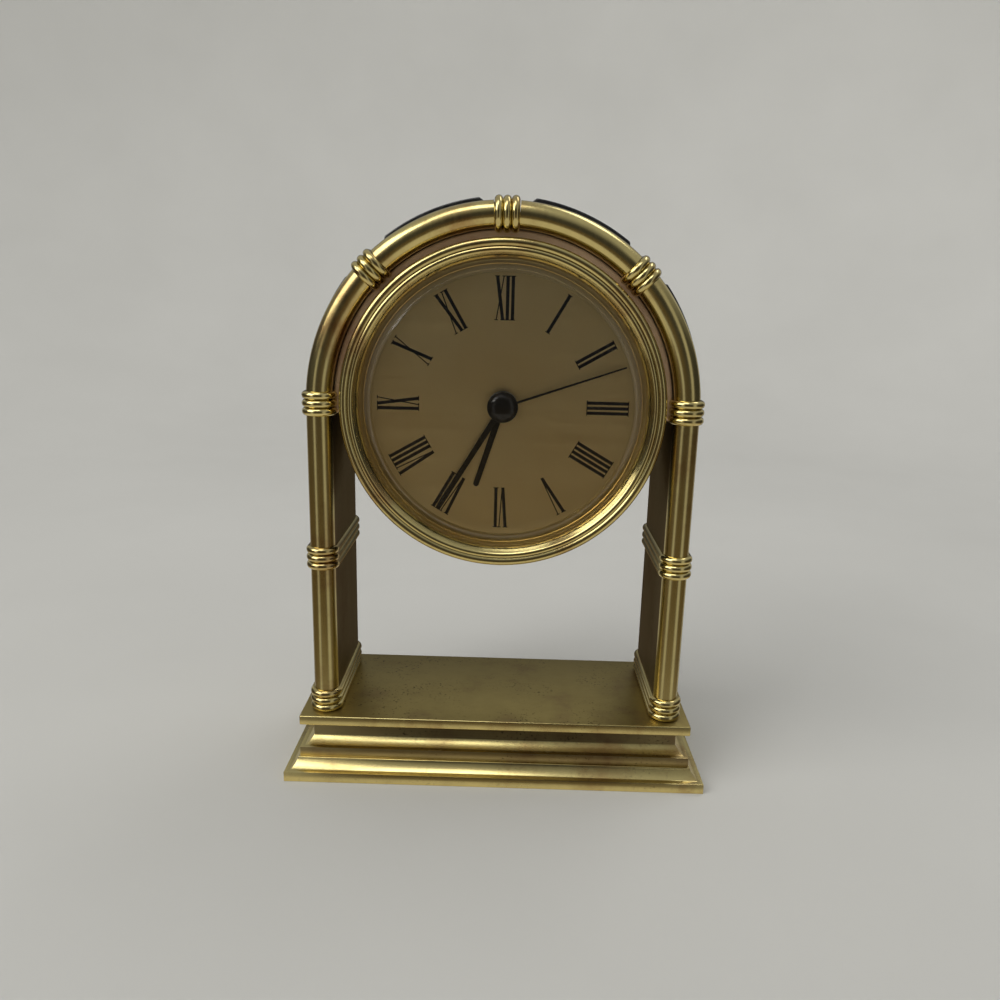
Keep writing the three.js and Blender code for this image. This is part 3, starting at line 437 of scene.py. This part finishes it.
def leg_panel(side, low, high):
    """A straight panel between two heights, its outer face shorter than its inner."""
    bm = bmesh.new()
    bmesh.ops.create_cube(bm, size=1)
    size = (PANEL_OUTER - PANEL_INNER, 2 * PANEL_HALF_DEPTH, high - low)
    bmesh.ops.scale(bm, vec=size, verts=bm.verts)
    middle = (side * (PANEL_INNER + PANEL_OUTER) / 2, 0, (low + high) / 2)
    bmesh.ops.translate(bm, verts=bm.verts, vec=middle)
    for vert in bm.verts:
        if abs(vert.co.x) > middle[0] * side:
            vert.co.z += math.copysign(PANEL_SLOPE, middle[2] - vert.co.z)
    broken_edges(bm, PANEL_EDGE, 3)
    return bm


def bow_panel(side, start, end):
    """A bent panel between two angles above the springing, its ends sloped."""
    bm = bmesh.new()
    bmesh.ops.create_grid(bm, x_segments=1, y_segments=1, size=1)
    scale = ((PANEL_OUTER - PANEL_INNER) / 2, PANEL_HALF_DEPTH, 1)
    bmesh.ops.scale(bm, vec=scale, verts=bm.verts)
    middle = side * (PANEL_INNER + PANEL_OUTER) / 2
    bmesh.ops.translate(bm, verts=bm.verts, vec=(middle, 0, ARCH_CENTRE))
    turn = Matrix.Rotation(-side * start, 3, "Y")
    bmesh.ops.rotate(bm, verts=bm.verts, cent=arch_middle, matrix=turn)
    bmesh.ops.spin(bm, geom=bm.verts[:] + bm.edges[:] + bm.faces[:], cent=arch_middle, axis=(0, 1, 0),
                   angle=-side * (end - start), steps=PANEL_STEPS, use_merge=False)
    slope = PANEL_SLOPE / PANEL_OUTER
    for vert in bm.verts:
        radius = math.hypot(vert.co.x, vert.co.z - ARCH_CENTRE)
        angle = math.atan2(vert.co.z - ARCH_CENTRE, side * vert.co.x)
        if radius > (PANEL_INNER + PANEL_OUTER) / 2:
            share = (angle - start) / (end - start)
            drawn_in = start + slope + share * (end - start - 2 * slope)
            vert.co.x = side * radius * math.cos(drawn_in)
            vert.co.z = ARCH_CENTRE + radius * math.sin(drawn_in)
    bmesh.ops.remove_doubles(bm, verts=bm.verts, dist=MERGE)
    bmesh.ops.recalc_face_normals(bm, faces=bm.faces)
    broken_edges(bm, PANEL_EDGE, 3)
    return bm


panel_gap = (COLLAR_HALF + PANEL_MARGIN) / ARCH_MID_RADIUS
panel_end = COLLAR_HALF + PANEL_MARGIN
for word, side in (("left", -1), ("right", 1)):
    panels = {
        "leg_lower_panel": leg_panel(side, FOOT_COLLAR_Z + panel_end, MID_COLLAR_Z - panel_end),
        "leg_upper_panel": leg_panel(side, MID_COLLAR_Z + panel_end, ARCH_CENTRE - panel_end),
        "bow_lower_panel": bow_panel(side, panel_gap, math.pi / 4 - panel_gap),
        "bow_upper_panel": bow_panel(side, math.pi / 4 + panel_gap, math.pi / 2 - panel_gap),
    }
    for place, bm in panels.items():
        finished(bm, f"{word}_{place}_black", "clock_frame", black_lacquer, "black_gloss",
                 f"{word}_{place}")

# Bridge and leg screws: a half ring of thick brass plate that fills the space between bow and
# head, warmer where heat has coloured it, and two plated steel screws from under the base.
BRIDGE_INNER = 44.9
BRIDGE_OUTER = 48.3
BRIDGE_FRONT = -14.6
BRIDGE_REAR = -8.0
BRIDGE_EDGE = 0.9
BRIDGE_STEPS = 96
# The bridge is paler and less metallic than the other brass: its coppery tone with painted light added, so
# that its front, sunk between bow and bezel, looks lit.
bridge_brass_painted_light = brass("bridge_brass_painted_light", (0.84, 0.59, 0.38), (0.62, 0.38, 0.22), 0.22, 0.5,
                     (60, 60, 60), 0.3, 0.3)
shader_of(bridge_brass_painted_light).inputs["Metallic"].default_value = 0.3
bm = bmesh.new()
bmesh.ops.create_grid(bm, x_segments=1, y_segments=1, size=1)
ring_scale = ((BRIDGE_OUTER - BRIDGE_INNER) / 2, (BRIDGE_REAR - BRIDGE_FRONT) / 2, 1)
bmesh.ops.scale(bm, vec=ring_scale, verts=bm.verts)
ring_middle = ((BRIDGE_OUTER + BRIDGE_INNER) / 2, (BRIDGE_REAR + BRIDGE_FRONT) / 2, ARCH_CENTRE)
bmesh.ops.translate(bm, verts=bm.verts, vec=ring_middle)
bmesh.ops.rotate(bm, verts=bm.verts, cent=arch_middle, matrix=Matrix.Rotation(collar_angle, 3, "Y"))
bmesh.ops.spin(bm, geom=bm.verts[:] + bm.edges[:] + bm.faces[:], cent=arch_middle, axis=(0, 1, 0),
               angle=-math.pi - 2 * collar_angle, steps=BRIDGE_STEPS, use_merge=False)
bmesh.ops.remove_doubles(bm, verts=bm.verts, dist=MERGE)
bmesh.ops.recalc_face_normals(bm, faces=bm.faces)
broken_edges(bm, BRIDGE_EDGE, 5)
finished(bm, "head_bridge_brass", "clock_frame", bridge_brass_painted_light, "brass_warm", "head_bridge")


def grained(name, scale, detail, first, second, smooth, rough, relief=0.0):
    """A finish whose two colours, gloss and relief follow one fine grain."""
    material, tree, shader, place = new_material(name)
    grain = noise(tree, place, scale, detail)
    tree.links.new(ramp(tree, grain, [(0.35, first), (0.7, second)]), shader.inputs["Base Color"])
    tree.links.new(spread(tree, grain, smooth, rough), shader.inputs["Roughness"])
    if relief:
        bumped(tree, shader, grain, relief, 0.00005)
    return material


def dress(material, *names):
    """A finish for CAD pieces whose shape is right as it is."""
    for name in names:
        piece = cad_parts[name]
        piece.data.materials.clear()
        piece.data.materials.append(material)


plated_steel = grained("plated_steel", 250.0, 4.0, (0.55, 0.55, 0.53), (0.36, 0.35, 0.33), 0.22, 0.42)
shader_of(plated_steel).inputs["Metallic"].default_value = 1.0
dress(plated_steel, "left_leg_screw", "right_leg_screw")

# Drum: a spun steel cup painted matt black, open at the back round the movement, with its
# front edge pressed into the bezel.
FACE_STEPS = 144
DRUM_RADIUS = 44.6
DRUM_BORE = 43.0
DRUM_FRONT = -15.4
DRUM_BACK = 8.0
LIP_BORE = 40.4
LIP_FRONT = 6.2
matt_black = grained("matt_black_paint", 1500.0, 3.0, (0.012, 0.012, 0.013), (0.03, 0.03, 0.031),
                     0.45, 0.65, relief=0.25)


def turned(outline, steps=FACE_STEPS, centre=(0, 0), closed=True):
    """A ring or disc turned about the dial's axis from its outline of (radius, depth) points."""
    bm = bmesh.new()
    verts = [bm.verts.new((radius, depth, 0)) for radius, depth in outline]
    pairs = list(zip(verts, verts[1:]))
    if closed:
        pairs.append((verts[-1], verts[0]))
    edges = [bm.edges.new(pair) for pair in pairs]
    bmesh.ops.spin(bm, geom=verts + edges, cent=(0, 0, 0), axis=(0, 1, 0), angle=math.tau,
                   steps=steps, use_merge=True)
    bmesh.ops.translate(bm, verts=bm.verts, vec=(centre[0], 0, ARCH_CENTRE + centre[1]))
    bmesh.ops.remove_doubles(bm, verts=bm.verts, dist=MERGE)
    return bm


bm = turned([(DRUM_RADIUS, DRUM_FRONT), (DRUM_BORE, DRUM_FRONT), (DRUM_BORE, LIP_FRONT),
             (LIP_BORE, LIP_FRONT), (LIP_BORE, DRUM_BACK - 0.2), (LIP_BORE + 0.2, DRUM_BACK),
             (DRUM_RADIUS - 0.5, DRUM_BACK), (DRUM_RADIUS - 0.15, DRUM_BACK - 0.15),
             (DRUM_RADIUS, DRUM_BACK - 0.5)])
finished(bm, "drum_case_black", "clock_frame", matt_black, "black_matt", "drum_case")

# Movement: a quartz works moulded in off-white plastic behind the dial, with its coil, motor,
# board, wheels and one dry cell. The wheels keep their CAD shapes, and the case's edges are rounded.
CAD_MERGE = 0.002
FLAT_ANGLE = math.radians(1)
CASE_EDGE = 0.3
TO_MILLIMETRES = (1000, 1000, 1000)
white_plastic, tree, shader, place = new_material("white_plastic")
mould = noise(tree, place, 700.0, 3.0)
shade = noise(tree, place, 35.0, 3.0)
tree.links.new(ramp(tree, shade, [(0.35, (0.72, 0.71, 0.66)), (0.7, (0.62, 0.60, 0.53))]),
               shader.inputs["Base Color"])
tree.links.new(spread(tree, mould, 0.34, 0.5), shader.inputs["Roughness"])
bumped(tree, shader, mould, 0.2, 0.00004)
dress(white_plastic, "movement_front_plate", "movement_mid_plate", "hour_wheel", "centre_wheel",
      "second_wheel", "motion_wheel", "third_wheel", "intermediate_wheel")
bm = bmesh.new()
bm.from_mesh(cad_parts["movement_rear_case"].data)
bmesh.ops.scale(bm, vec=TO_MILLIMETRES, verts=bm.verts)
bmesh.ops.remove_doubles(bm, verts=bm.verts, dist=CAD_MERGE)
bmesh.ops.dissolve_limit(bm, angle_limit=FLAT_ANGLE, verts=bm.verts, edges=bm.edges)
broken_edges(bm, CASE_EDGE, 3)
finished(bm, "movement_rear_case_white", "clock_frame", white_plastic, "white_plastic",
         "movement_rear_case")
dress(plated_steel, "motor_stator", "motor_rotor", "battery_contact_minus", "battery_contact_plus")

copper_wire, tree, shader, place = new_material("copper_winding")
turns = node(tree, "TexWave", {"Vector": place, "Scale": 2200.0, "Distortion": 0.4}, bands_direction="X")
tree.links.new(ramp(tree, turns.outputs["Fac"], [(0.2, (0.30, 0.10, 0.04)), (0.8, (0.72, 0.33, 0.16))]),
               shader.inputs["Base Color"])
bumped(tree, shader, turns.outputs["Fac"], 0.5, 0.00005)
shader.inputs["Metallic"].default_value = 0.8
shader.inputs["Roughness"].default_value = 0.35
dress(copper_wire, "motor_coil")

green_board, tree, shader, place = new_material("green_board")
weave = node(tree, "TexChecker", {"Vector": place, "Scale": 1400.0})
weave.inputs["Color1"].default_value = (0.02, 0.13, 0.05, 1)
weave.inputs["Color2"].default_value = (0.025, 0.16, 0.065, 1)
tree.links.new(weave.outputs["Color"], shader.inputs["Base Color"])
tree.links.new(spread(tree, noise(tree, place, 400.0), 0.3, 0.45), shader.inputs["Roughness"])
dress(green_board, "circuit_board")


def share_between(tree, value, start, end):
    """0 to 1 as a value goes from one limit to another."""
    feeds = {"Value": value, "From Min": start, "From Max": end}
    return node(tree, "MapRange", feeds).outputs["Result"]


CELL_GREY = (0.10, 0.10, 0.11)
CELL_GOLD = (0.62, 0.42, 0.12)
CELL_END = 0.025
cell_jacket, tree, shader, place = new_material("cell_jacket")
along = node(tree, "SeparateXYZ", {"Vector": place}).outputs["X"]
band = share_between(tree, along, -CELL_END, CELL_END)
jacket = ramp(tree, band, [(0.0, CELL_GREY), (0.60, CELL_GREY), (0.62, CELL_GOLD)])
tree.links.new(jacket, shader.inputs["Base Color"])
tree.links.new(spread(tree, noise(tree, place, 300.0), 0.2, 0.4), shader.inputs["Roughness"])
shader.inputs["Metallic"].default_value = 0.7
dress(cell_jacket, "battery")

# Battery door and setting knob: a moulded lid with finger ridges that clips over the cell's
# bay, and a black fluted knob for setting the hands, both at the open back of the drum.
DOOR_HALF_WIDTH = 26.0
DOOR_LOW = ARCH_CENTRE - 30.0
DOOR_HIGH = ARCH_CENTRE - 15.0
DOOR_FRONT = 6.2
DOOR_REAR = 7.4
DOOR_CORNER = 1.5
DOOR_RIM = 0.4
DOOR_RISE = 0.3
RIDGE_PITCH = 1.4
RIDGE_LENGTH = 16.0
RIDGE_RISE = 0.3
RIDGE_WIDTH = 0.6
RIDGE_EDGE = 0.1
KNOB_PLACE = (-14.928, -4.0)
KNOB_RING_OUTER = 8.6
KNOB_RING_INNER = 7.4
KNOB_RING_BACK = 6.5


def block(low, high):
    """A plain block between two corners."""
    bm = bmesh.new()
    bmesh.ops.create_cube(bm, size=1)
    bmesh.ops.scale(bm, vec=[b - a for a, b in zip(low, high)], verts=bm.verts)
    bmesh.ops.translate(bm, verts=bm.verts, vec=[(a + b) / 2 for a, b in zip(low, high)])
    return bm


bm = block((-DOOR_HALF_WIDTH, DOOR_FRONT, DOOR_LOW), (DOOR_HALF_WIDTH, DOOR_REAR - DOOR_RISE, DOOR_HIGH))
upright_edges = [edge for edge in bm.edges if abs(edge.verts[0].co.y - edge.verts[1].co.y) > 0.5]
rounded(bm, upright_edges, DOOR_CORNER, 6)
rear_face = max(bm.faces, key=lambda face: face.calc_center_median().y)
bmesh.ops.inset_region(bm, faces=[rear_face], thickness=DOOR_RIM, depth=DOOR_RISE)
finished(bm, "battery_door_lid", "battery_door_body", white_plastic, "white_plastic", "battery_door")
bm = bmesh.new()
ridge_size = Matrix.Diagonal((RIDGE_LENGTH, RIDGE_RISE, RIDGE_WIDTH, 1))
for number in range(-3, 4):
    middle = (DOOR_LOW + DOOR_HIGH) / 2 + RIDGE_PITCH * number
    ridge = Matrix.Translation((0, DOOR_REAR - RIDGE_RISE / 2, middle)) @ ridge_size
    bmesh.ops.create_cube(bm, size=1, matrix=ridge)
broken_edges(bm, RIDGE_EDGE)
finished(bm, "battery_door_ridges", "battery_door_body", white_plastic, "white_plastic")

black_plastic = grained("black_plastic", 1200.0, 3.0, (0.014, 0.014, 0.015), (0.035, 0.035, 0.036),
                        0.32, 0.48)
dress(black_plastic, "setting_knob")
bm = turned([(KNOB_RING_OUTER, DOOR_FRONT), (KNOB_RING_OUTER - 0.1, KNOB_RING_BACK),
             (KNOB_RING_INNER + 0.1, KNOB_RING_BACK), (KNOB_RING_INNER, DOOR_FRONT)], 64, KNOB_PLACE)
finished(bm, "setting_knob_ring", "clock_frame", white_plastic, "white_plastic")

# Dial: a thin brass disc with a satin gold finish brushed from side to side, clamped between
# the movement and the spacer ring by the movement's bush.
DIAL_FACE = -12.5
DIAL_BACK = -11.5
DIAL_RADIUS = 42.7
DIAL_HOLE = 4.3
dial_gold, tree, shader, place = new_material("dial_gold")
brushing = noise(tree, stretched(tree, place, (14, 1, 1500)), 1.0, 3.0, 0.65)
toning = noise(tree, place, 28.0, 3.0)
tree.links.new(ramp(tree, toning, [(0.3, (0.93, 0.76, 0.40)), (0.7, (0.87, 0.67, 0.32))]),
               shader.inputs["Base Color"])
tree.links.new(spread(tree, brushing, 0.22, 0.46), shader.inputs["Roughness"])
bumped(tree, shader, brushing, 0.6, 0.00003)
shader.inputs["Metallic"].default_value = 1.0
bm = turned([(DIAL_RADIUS, DIAL_FACE), (DIAL_RADIUS, DIAL_BACK), (DIAL_HOLE, DIAL_BACK),
             (DIAL_HOLE, DIAL_FACE)])
finished(bm, "dial_gold_disc", "clock_frame", dial_gold, "dial_gold", "dial")

# Numerals: twelve Roman hours printed in thick black ink, their tops outward. A thick stroke
# and a hairline make each letter, with hairline serifs that join the letters of a group.
NUMERAL_LOW = 24.0
NUMERAL_HIGH = 36.1
THICK_STROKE = 0.92
HAIRLINE = 0.3
SERIF = 0.24
INK = 0.06
INK_SUNK = 0.005
THICK_LEAN = 0.85
THIN_LEAN = 1.0
V_THICK_FOOT = 0.1
V_THIN_FOOT = 0.3
UPRIGHT_SERIF = 0.74
THICK_SERIF = 0.72
THIN_SERIF = 0.5
HOURS = ("XII", "I", "II", "III", "IIII", "V", "VI", "VII", "VIII", "IX", "X", "XI")
LETTER_WIDTH = {"I": 1.45, "V": 2.75, "X": 2.75}
ink = grained("black_ink", 2500.0, 2.0, (0.006, 0.006, 0.006), (0.016, 0.015, 0.013), 0.35, 0.5)
shader_of(ink).inputs["Specular IOR Level"].default_value = 0.15


def stroke(bm, foot, head, width, turn):
    """One stroke of ink from its foot to its head, each (across, out from the dial's centre)."""
    along = Vector((head[0] - foot[0], 0, head[1] - foot[1]))
    shape = Matrix(((width, 0, along.x, (foot[0] + head[0]) / 2),
                    (0, INK, 0, DIAL_FACE - INK / 2 + INK_SUNK),
                    (0, 0, along.z, (foot[1] + head[1]) / 2),
                    (0, 0, 0, 1)))
    bmesh.ops.create_cube(bm, size=1, matrix=turn @ shape)


def serif(bm, across, out, reach, turn):
    """A hairline bar across the end of a stroke."""
    inward = SERIF if out < (NUMERAL_LOW + NUMERAL_HIGH) / 2 else -SERIF
    stroke(bm, (across, out), (across, out + inward), 2 * reach, turn)


def letter(bm, shape, middle, turn):
    """One Roman letter at its place across the group."""
    low, high = NUMERAL_LOW, NUMERAL_HIGH
    if shape == "I":
        stroke(bm, (middle, low), (middle, high), THICK_STROKE, turn)
        ends = [(middle, low, UPRIGHT_SERIF), (middle, high, UPRIGHT_SERIF)]
    elif shape == "X":
        stroke(bm, (middle + THICK_LEAN, low), (middle - THICK_LEAN, high), THICK_STROKE, turn)
        stroke(bm, (middle - THIN_LEAN, low), (middle + THIN_LEAN, high), HAIRLINE, turn)
        ends = [(middle + THICK_LEAN, low, THICK_SERIF), (middle - THIN_LEAN, low, THIN_SERIF),
                (middle - THICK_LEAN, high, THICK_SERIF), (middle + THIN_LEAN, high, THIN_SERIF)]
    else:
        stroke(bm, (middle + V_THICK_FOOT, low), (middle - THICK_LEAN, high), THICK_STROKE, turn)
        stroke(bm, (middle + V_THIN_FOOT, low), (middle + THIN_LEAN, high), HAIRLINE, turn)
        ends = [(middle - THICK_LEAN, high, THICK_SERIF), (middle + THIN_LEAN, high, THIN_SERIF)]
    for across, out, reach in ends:
        serif(bm, across, out, reach, turn)


for hour, group in enumerate(HOURS):
    turn = Matrix.Translation(arch_middle) @ Matrix.Rotation(hour * math.pi / 6, 4, "Y")
    across = -sum(LETTER_WIDTH[shape] for shape in group) / 2
    bm = bmesh.new()
    for shape in group:
        letter(bm, shape, across + LETTER_WIDTH[shape] / 2, turn)
        across += LETTER_WIDTH[shape]
    finished(bm, f"numeral_{hour or 12}", "clock_frame", ink, "black_hand")

# Hands: three batons stamped from thin brass and painted black, pressed on the movement's
# pipes, and a glossy black domed cap over them that turns with the second hand.
HAND_EDGE = 0.08
BLADE_SUNK = 0.6
hand_black = grained("hand_black", 600.0, 3.0, (0.004, 0.004, 0.003), (0.011, 0.010, 0.008), 0.3, 0.45)
shader_of(hand_black).inputs["Specular IOR Level"].default_value = 0.15


def hand(name, length, width, tip, boss, bore, front, rear, degrees):
    """A tapered baton with a rounded tip and a ring boss, pointing where the clock shows it."""
    bm = turned([(boss, front), (boss, rear), (bore, rear), (bore, front)], 48)
    foot = ARCH_CENTRE + boss - BLADE_SUNK
    blade = block((-width / 2, front, foot), (width / 2, rear, ARCH_CENTRE + length))
    half_way = ARCH_CENTRE + length / 2
    for vert in blade.verts:
        if vert.co.z > half_way:
            vert.co.x *= tip / width
    tip_edges = [edge for edge in blade.edges if all(vert.co.z > half_way for vert in edge.verts)
                 and abs(edge.verts[0].co.y - edge.verts[1].co.y) > 0.1]
    rounded(blade, tip_edges, 0.48 * tip, 5)
    scratch = bpy.data.meshes.new("blade")
    blade.to_mesh(scratch)
    blade.free()
    bm.from_mesh(scratch)
    bpy.data.meshes.remove(scratch)
    broken_edges(bm, HAND_EDGE)
    swing = Matrix.Rotation(math.radians(degrees), 3, "Y")
    bmesh.ops.rotate(bm, verts=bm.verts, cent=arch_middle, matrix=swing)
    finished(bm, f"{name}_black", f"{name}_body", hand_black, "black_hand", name)


hand("hour_hand", length=24.7, width=1.8, tip=1.6, boss=4.0, bore=3.0, front=-13.6, rear=-13.0,
     degrees=197.6)
hand("minute_hand", length=35.6, width=1.7, tip=1.4, boss=3.6, bore=1.9, front=-14.8, rear=-14.2,
     degrees=211.2)
hand("second_hand", length=36.5, width=0.7, tip=0.45, boss=2.8, bore=0.6, front=-15.8, rear=-15.4,
     degrees=70.8)

CAP_BACK = -15.8
CAP_RIM = -16.1
CAP_RISE = 1.4
CAP_BEAD = 0.22
CAP_GROOVE = 0.1
CAP_RADIUS = 4.4
CAP_STEPS = 12


def bead(radius, depth, size, first, last, steps):
    """The points of a rolled bead between two angles in degrees."""
    points = []
    for step in range(steps + 1):
        turn = math.radians(first + (last - first) * step / steps)
        points.append((radius + size * math.cos(turn), depth - size * math.sin(turn)))
    return points


cap_outline = [(0.0, CAP_BACK), (CAP_RADIUS, CAP_BACK)]
cap_outline += bead(CAP_RADIUS - CAP_BEAD, CAP_RIM, CAP_BEAD, 0, 180, 6)
cap_dome = CAP_RADIUS - 2 * CAP_BEAD - CAP_GROOVE
for step in range(CAP_STEPS + 1):
    turn = step / CAP_STEPS * math.pi / 2
    cap_outline.append((cap_dome * math.cos(turn), CAP_RIM - CAP_RISE * math.sin(turn)))
hub_black = grained("hub_black", 500.0, 3.0, (0.002, 0.002, 0.002), (0.006, 0.006, 0.005), 0.02, 0.05)
shader_of(hub_black).inputs["Specular IOR Level"].default_value = 0.3
finished(turned(cap_outline, 64, closed=False), "hub_cap_black", "second_hand_body", hub_black,
         "black_gloss", "hub_cap")

# Spacer, lens and bezel: a gold ring holds the dial back, a domed clear acrylic lens with a
# raised rim lies on it, and a rolled brass bezel of two beads presses both into the drum.
SPACER_BORE = 41.6
LENS_BACK = -15.9
bm = turned([(DIAL_RADIUS, LENS_BACK), (DIAL_RADIUS, DIAL_FACE), (SPACER_BORE, DIAL_FACE),
             (SPACER_BORE, LENS_BACK)])
finished(bm, "dial_spacer_gold", "clock_frame", dial_gold, "dial_gold", "dial_spacer_ring")

LENS_RADIUS = 42.4
LENS_FACE_RADIUS = 37.7
LENS_FACE_RIM = -17.6
LENS_CAVITY_RADIUS = 37.0
LENS_CAVITY_RIM = -16.4
LENS_RISE = 1.7
FLANGE_FACE = -16.9
FLANGE_RING = -17.1
dome_shares = [step / 12 for step in range(12)] + [0.97, 0.99, 1.0]


def dome(radius, rim):
    """The points of a shallow dome from its middle to its rim, close together near the rim."""
    return [(share * radius, rim - LENS_RISE * (1 - share * share)) for share in dome_shares]


cavity_edge = [(37.05, -16.0), (37.2, LENS_BACK)]
flange = [(LENS_RADIUS, LENS_BACK), (LENS_RADIUS, FLANGE_FACE)]
flange_ring = [(40.35, FLANGE_FACE), (40.2, FLANGE_RING), (39.4, FLANGE_RING), (39.25, FLANGE_FACE)]
face_wall = [(38.1, FLANGE_FACE), (37.95, -16.95), (37.9, -17.1), (37.85, -17.45), (37.8, -17.55)]
lens_outline = [*dome(LENS_CAVITY_RADIUS, LENS_CAVITY_RIM), *cavity_edge, *flange, *flange_ring,
                *face_wall, *reversed(dome(LENS_FACE_RADIUS, LENS_FACE_RIM))]
clear_acrylic, tree, shader, place = new_material("clear_acrylic")
smear = noise(tree, place, 55.0, 4.0)
tree.links.new(spread(tree, smear, 0.0, 0.03), shader.inputs["Roughness"])
shader.inputs["Base Color"].default_value = (0.985, 0.985, 0.98, 1)
shader.inputs["IOR"].default_value = 1.49
shader.inputs["Transmission Weight"].default_value = 1.0
finished(turned(lens_outline, closed=False), "lens_clear", "clock_frame", clear_acrylic,
         "clear_lens", "lens")

BEZEL_RADIUS = 46.05
BEZEL_WIDEST = -18.5
OUTER_BEAD = 1.3
INNER_BEAD = 0.95
BEADS_APART = 1.9
INNER_BEAD_PROUD = 0.45
BEZEL_BORE = 40.9
outer_bead_mid = BEZEL_RADIUS - OUTER_BEAD
bezel_back = [(BEZEL_BORE, FLANGE_FACE), (DIAL_RADIUS, FLANGE_FACE), (DIAL_RADIUS, DRUM_FRONT)]
bezel_side = [(45.2, DRUM_FRONT), (45.5, -15.6), (45.8, -16.4), (45.95, -17.3)]
bezel_throat = [(41.5, -18.6), (41.0, -17.9), (BEZEL_BORE, -17.5)]
outer_bead = bead(outer_bead_mid, BEZEL_WIDEST, OUTER_BEAD, 0, 135, 11)
inner_bead = bead(outer_bead_mid - BEADS_APART, BEZEL_WIDEST - INNER_BEAD_PROUD, INNER_BEAD, 25, 145, 8)
bezel_outline = [*bezel_back, *bezel_side, *outer_bead, *inner_bead, *bezel_throat]
bezel_brass = brass("bezel_brass", BRASS_BRIGHT, ARCH_TARNISHED, 0.13, 0.36, (300, 300, 300), 0.15)
finished(turned(bezel_outline), "bezel_brass_ring", "clock_frame", bezel_brass, "brass_polished", "bezel")

# Studio: a pale round sweep of painted board under and about the clock, a broad soft light
# overhead, one to the left and a weak one behind. The brass and the lens mirror a room instead
# of the board: dim in front, a window on each side, a table below and a pale ceiling.
SWEEP_FLAT = 550
SWEEP_BEND = 500
SWEEP_TOP = 1600
SWEEP_FLOOR = -0.02
SWEEP_STEPS = 12
SWEEP_SIDES = 96
backdrop_grey, tree, shader, place = new_material("backdrop_grey")
tone = noise(tree, place, 6.0, 3.0)
board = ramp(tree, tone, [(0.3, (0.60, 0.60, 0.585)), (0.7, (0.57, 0.57, 0.555))])
tree.links.new(board, shader.inputs["Base Color"])
tree.links.new(spread(tree, tone, 0.75, 0.9), shader.inputs["Roughness"])
sweep = [(0, SWEEP_FLOOR), (SWEEP_FLAT, SWEEP_FLOOR)]
for step in range(1, SWEEP_STEPS + 1):
    turn = math.pi / 2 * step / SWEEP_STEPS
    height = SWEEP_BEND * (1 - math.cos(turn)) + SWEEP_FLOOR
    sweep.append((SWEEP_FLAT + SWEEP_BEND * math.sin(turn), height))
sweep.append((SWEEP_FLAT + SWEEP_BEND, SWEEP_TOP))
bm = bmesh.new()
sweep_verts = [bm.verts.new((radius, 0, height)) for radius, height in sweep]
sweep_edges = [bm.edges.new(pair) for pair in zip(sweep_verts, sweep_verts[1:])]
bmesh.ops.spin(bm, geom=sweep_verts + sweep_edges, cent=(0, 0, 0), axis=(0, 0, 1), angle=math.tau,
               steps=SWEEP_SIDES, use_merge=True)
bmesh.ops.remove_doubles(bm, verts=bm.verts, dist=MERGE)
bmesh.ops.recalc_face_normals(bm, faces=bm.faces)
bmesh.ops.scale(bm, vec=TO_METRES, verts=bm.verts)
for face in bm.faces:
    face.smooth = True
sweep_mesh = bpy.data.meshes.new("studio_sweep")
bm.to_mesh(sweep_mesh)
bm.free()
sweep_mesh.materials.append(backdrop_grey)
studio_sweep = bpy.data.objects.new("studio_sweep", sweep_mesh)
bpy.context.scene.collection.objects.link(studio_sweep)
studio_sweep.visible_glossy = False
studio_sweep.visible_transmission = False
studio_sweep.visible_shadow = False


def soft_light(name, place, target, width, height, power, colour):
    """A rectangular area light at a place, turned to face a target."""
    lamp = bpy.data.lights.new(name, "AREA")
    lamp.shape = "RECTANGLE"
    lamp.size = width
    lamp.size_y = height
    lamp.energy = power
    lamp.color = colour
    light = bpy.data.objects.new(name, lamp)
    aim = Vector(target) - Vector(place)
    light.matrix_world = Matrix.Translation(place) @ aim.to_track_quat("-Z", "Y").to_matrix().to_4x4()
    bpy.context.scene.collection.objects.link(light)


clock_middle = (0, 0, 0.09)
soft_light("overhead_light", (-0.40, -0.86, 2.20), clock_middle, 1.10, 0.95, 9.5, (1.0, 0.99, 0.96))
soft_light("left_light", (-1.70, -1.00, 1.50), clock_middle, 1.70, 1.50, 26.0, (1.0, 0.98, 0.94))
soft_light("rear_light", (0.50, 0.40, 1.10), clock_middle, 0.60, 0.30, 1.5, (1.0, 0.99, 0.97))
bpy.context.scene.view_settings.view_transform = "Standard"
DIM = (0.045, 0.044, 0.042)
LEFT_WINDOW = (0.45, 0.44, 0.42)
RIGHT_WINDOW = (0.44, 0.43, 0.405)
CEILING = (0.41, 0.41, 0.40)
TABLE = (0.11, 0.08, 0.043)
NEAR_TABLE = (0.60, 0.56, 0.47)
CEILING_LEAN = 0.12
room = bpy.data.worlds.new("room")
room.use_nodes = True
tree = room.node_tree
way = node(tree, "SeparateXYZ", {"Vector": tree.nodes.new("ShaderNodeTexCoord").outputs["Generated"]})
aside = share_between(tree, way.outputs["X"], -1.0, 1.0)
windows = ramp(tree, aside, [(0.0, DIM), (0.12, DIM), (0.16, LEFT_WINDOW), (0.23, LEFT_WINDOW), (0.29, DIM),
                             (0.72, DIM), (0.78, RIGHT_WINDOW), (0.87, RIGHT_WINDOW), (0.92, DIM)])
below = share_between(tree, way.outputs["Z"], -0.05, -0.25)
with_table = mixed(tree, below, windows, (*TABLE, 1), "LIGHTEN")
under = share_between(tree, way.outputs["Z"], -0.44, -0.53)
with_near_table = mixed(tree, under, with_table, (*NEAR_TABLE, 1))
tilt = {0: way.outputs["Y"], 1: CEILING_LEAN, 2: way.outputs["Z"]}
lean = node(tree, "Math", tilt, operation="MULTIPLY_ADD").outputs["Value"]
above = share_between(tree, lean, 0.2, 0.8)
room_light = mixed(tree, above, with_near_table, (*CEILING, 1))
tree.links.new(room_light, tree.nodes["Background"].inputs["Color"])
bpy.context.scene.world = room
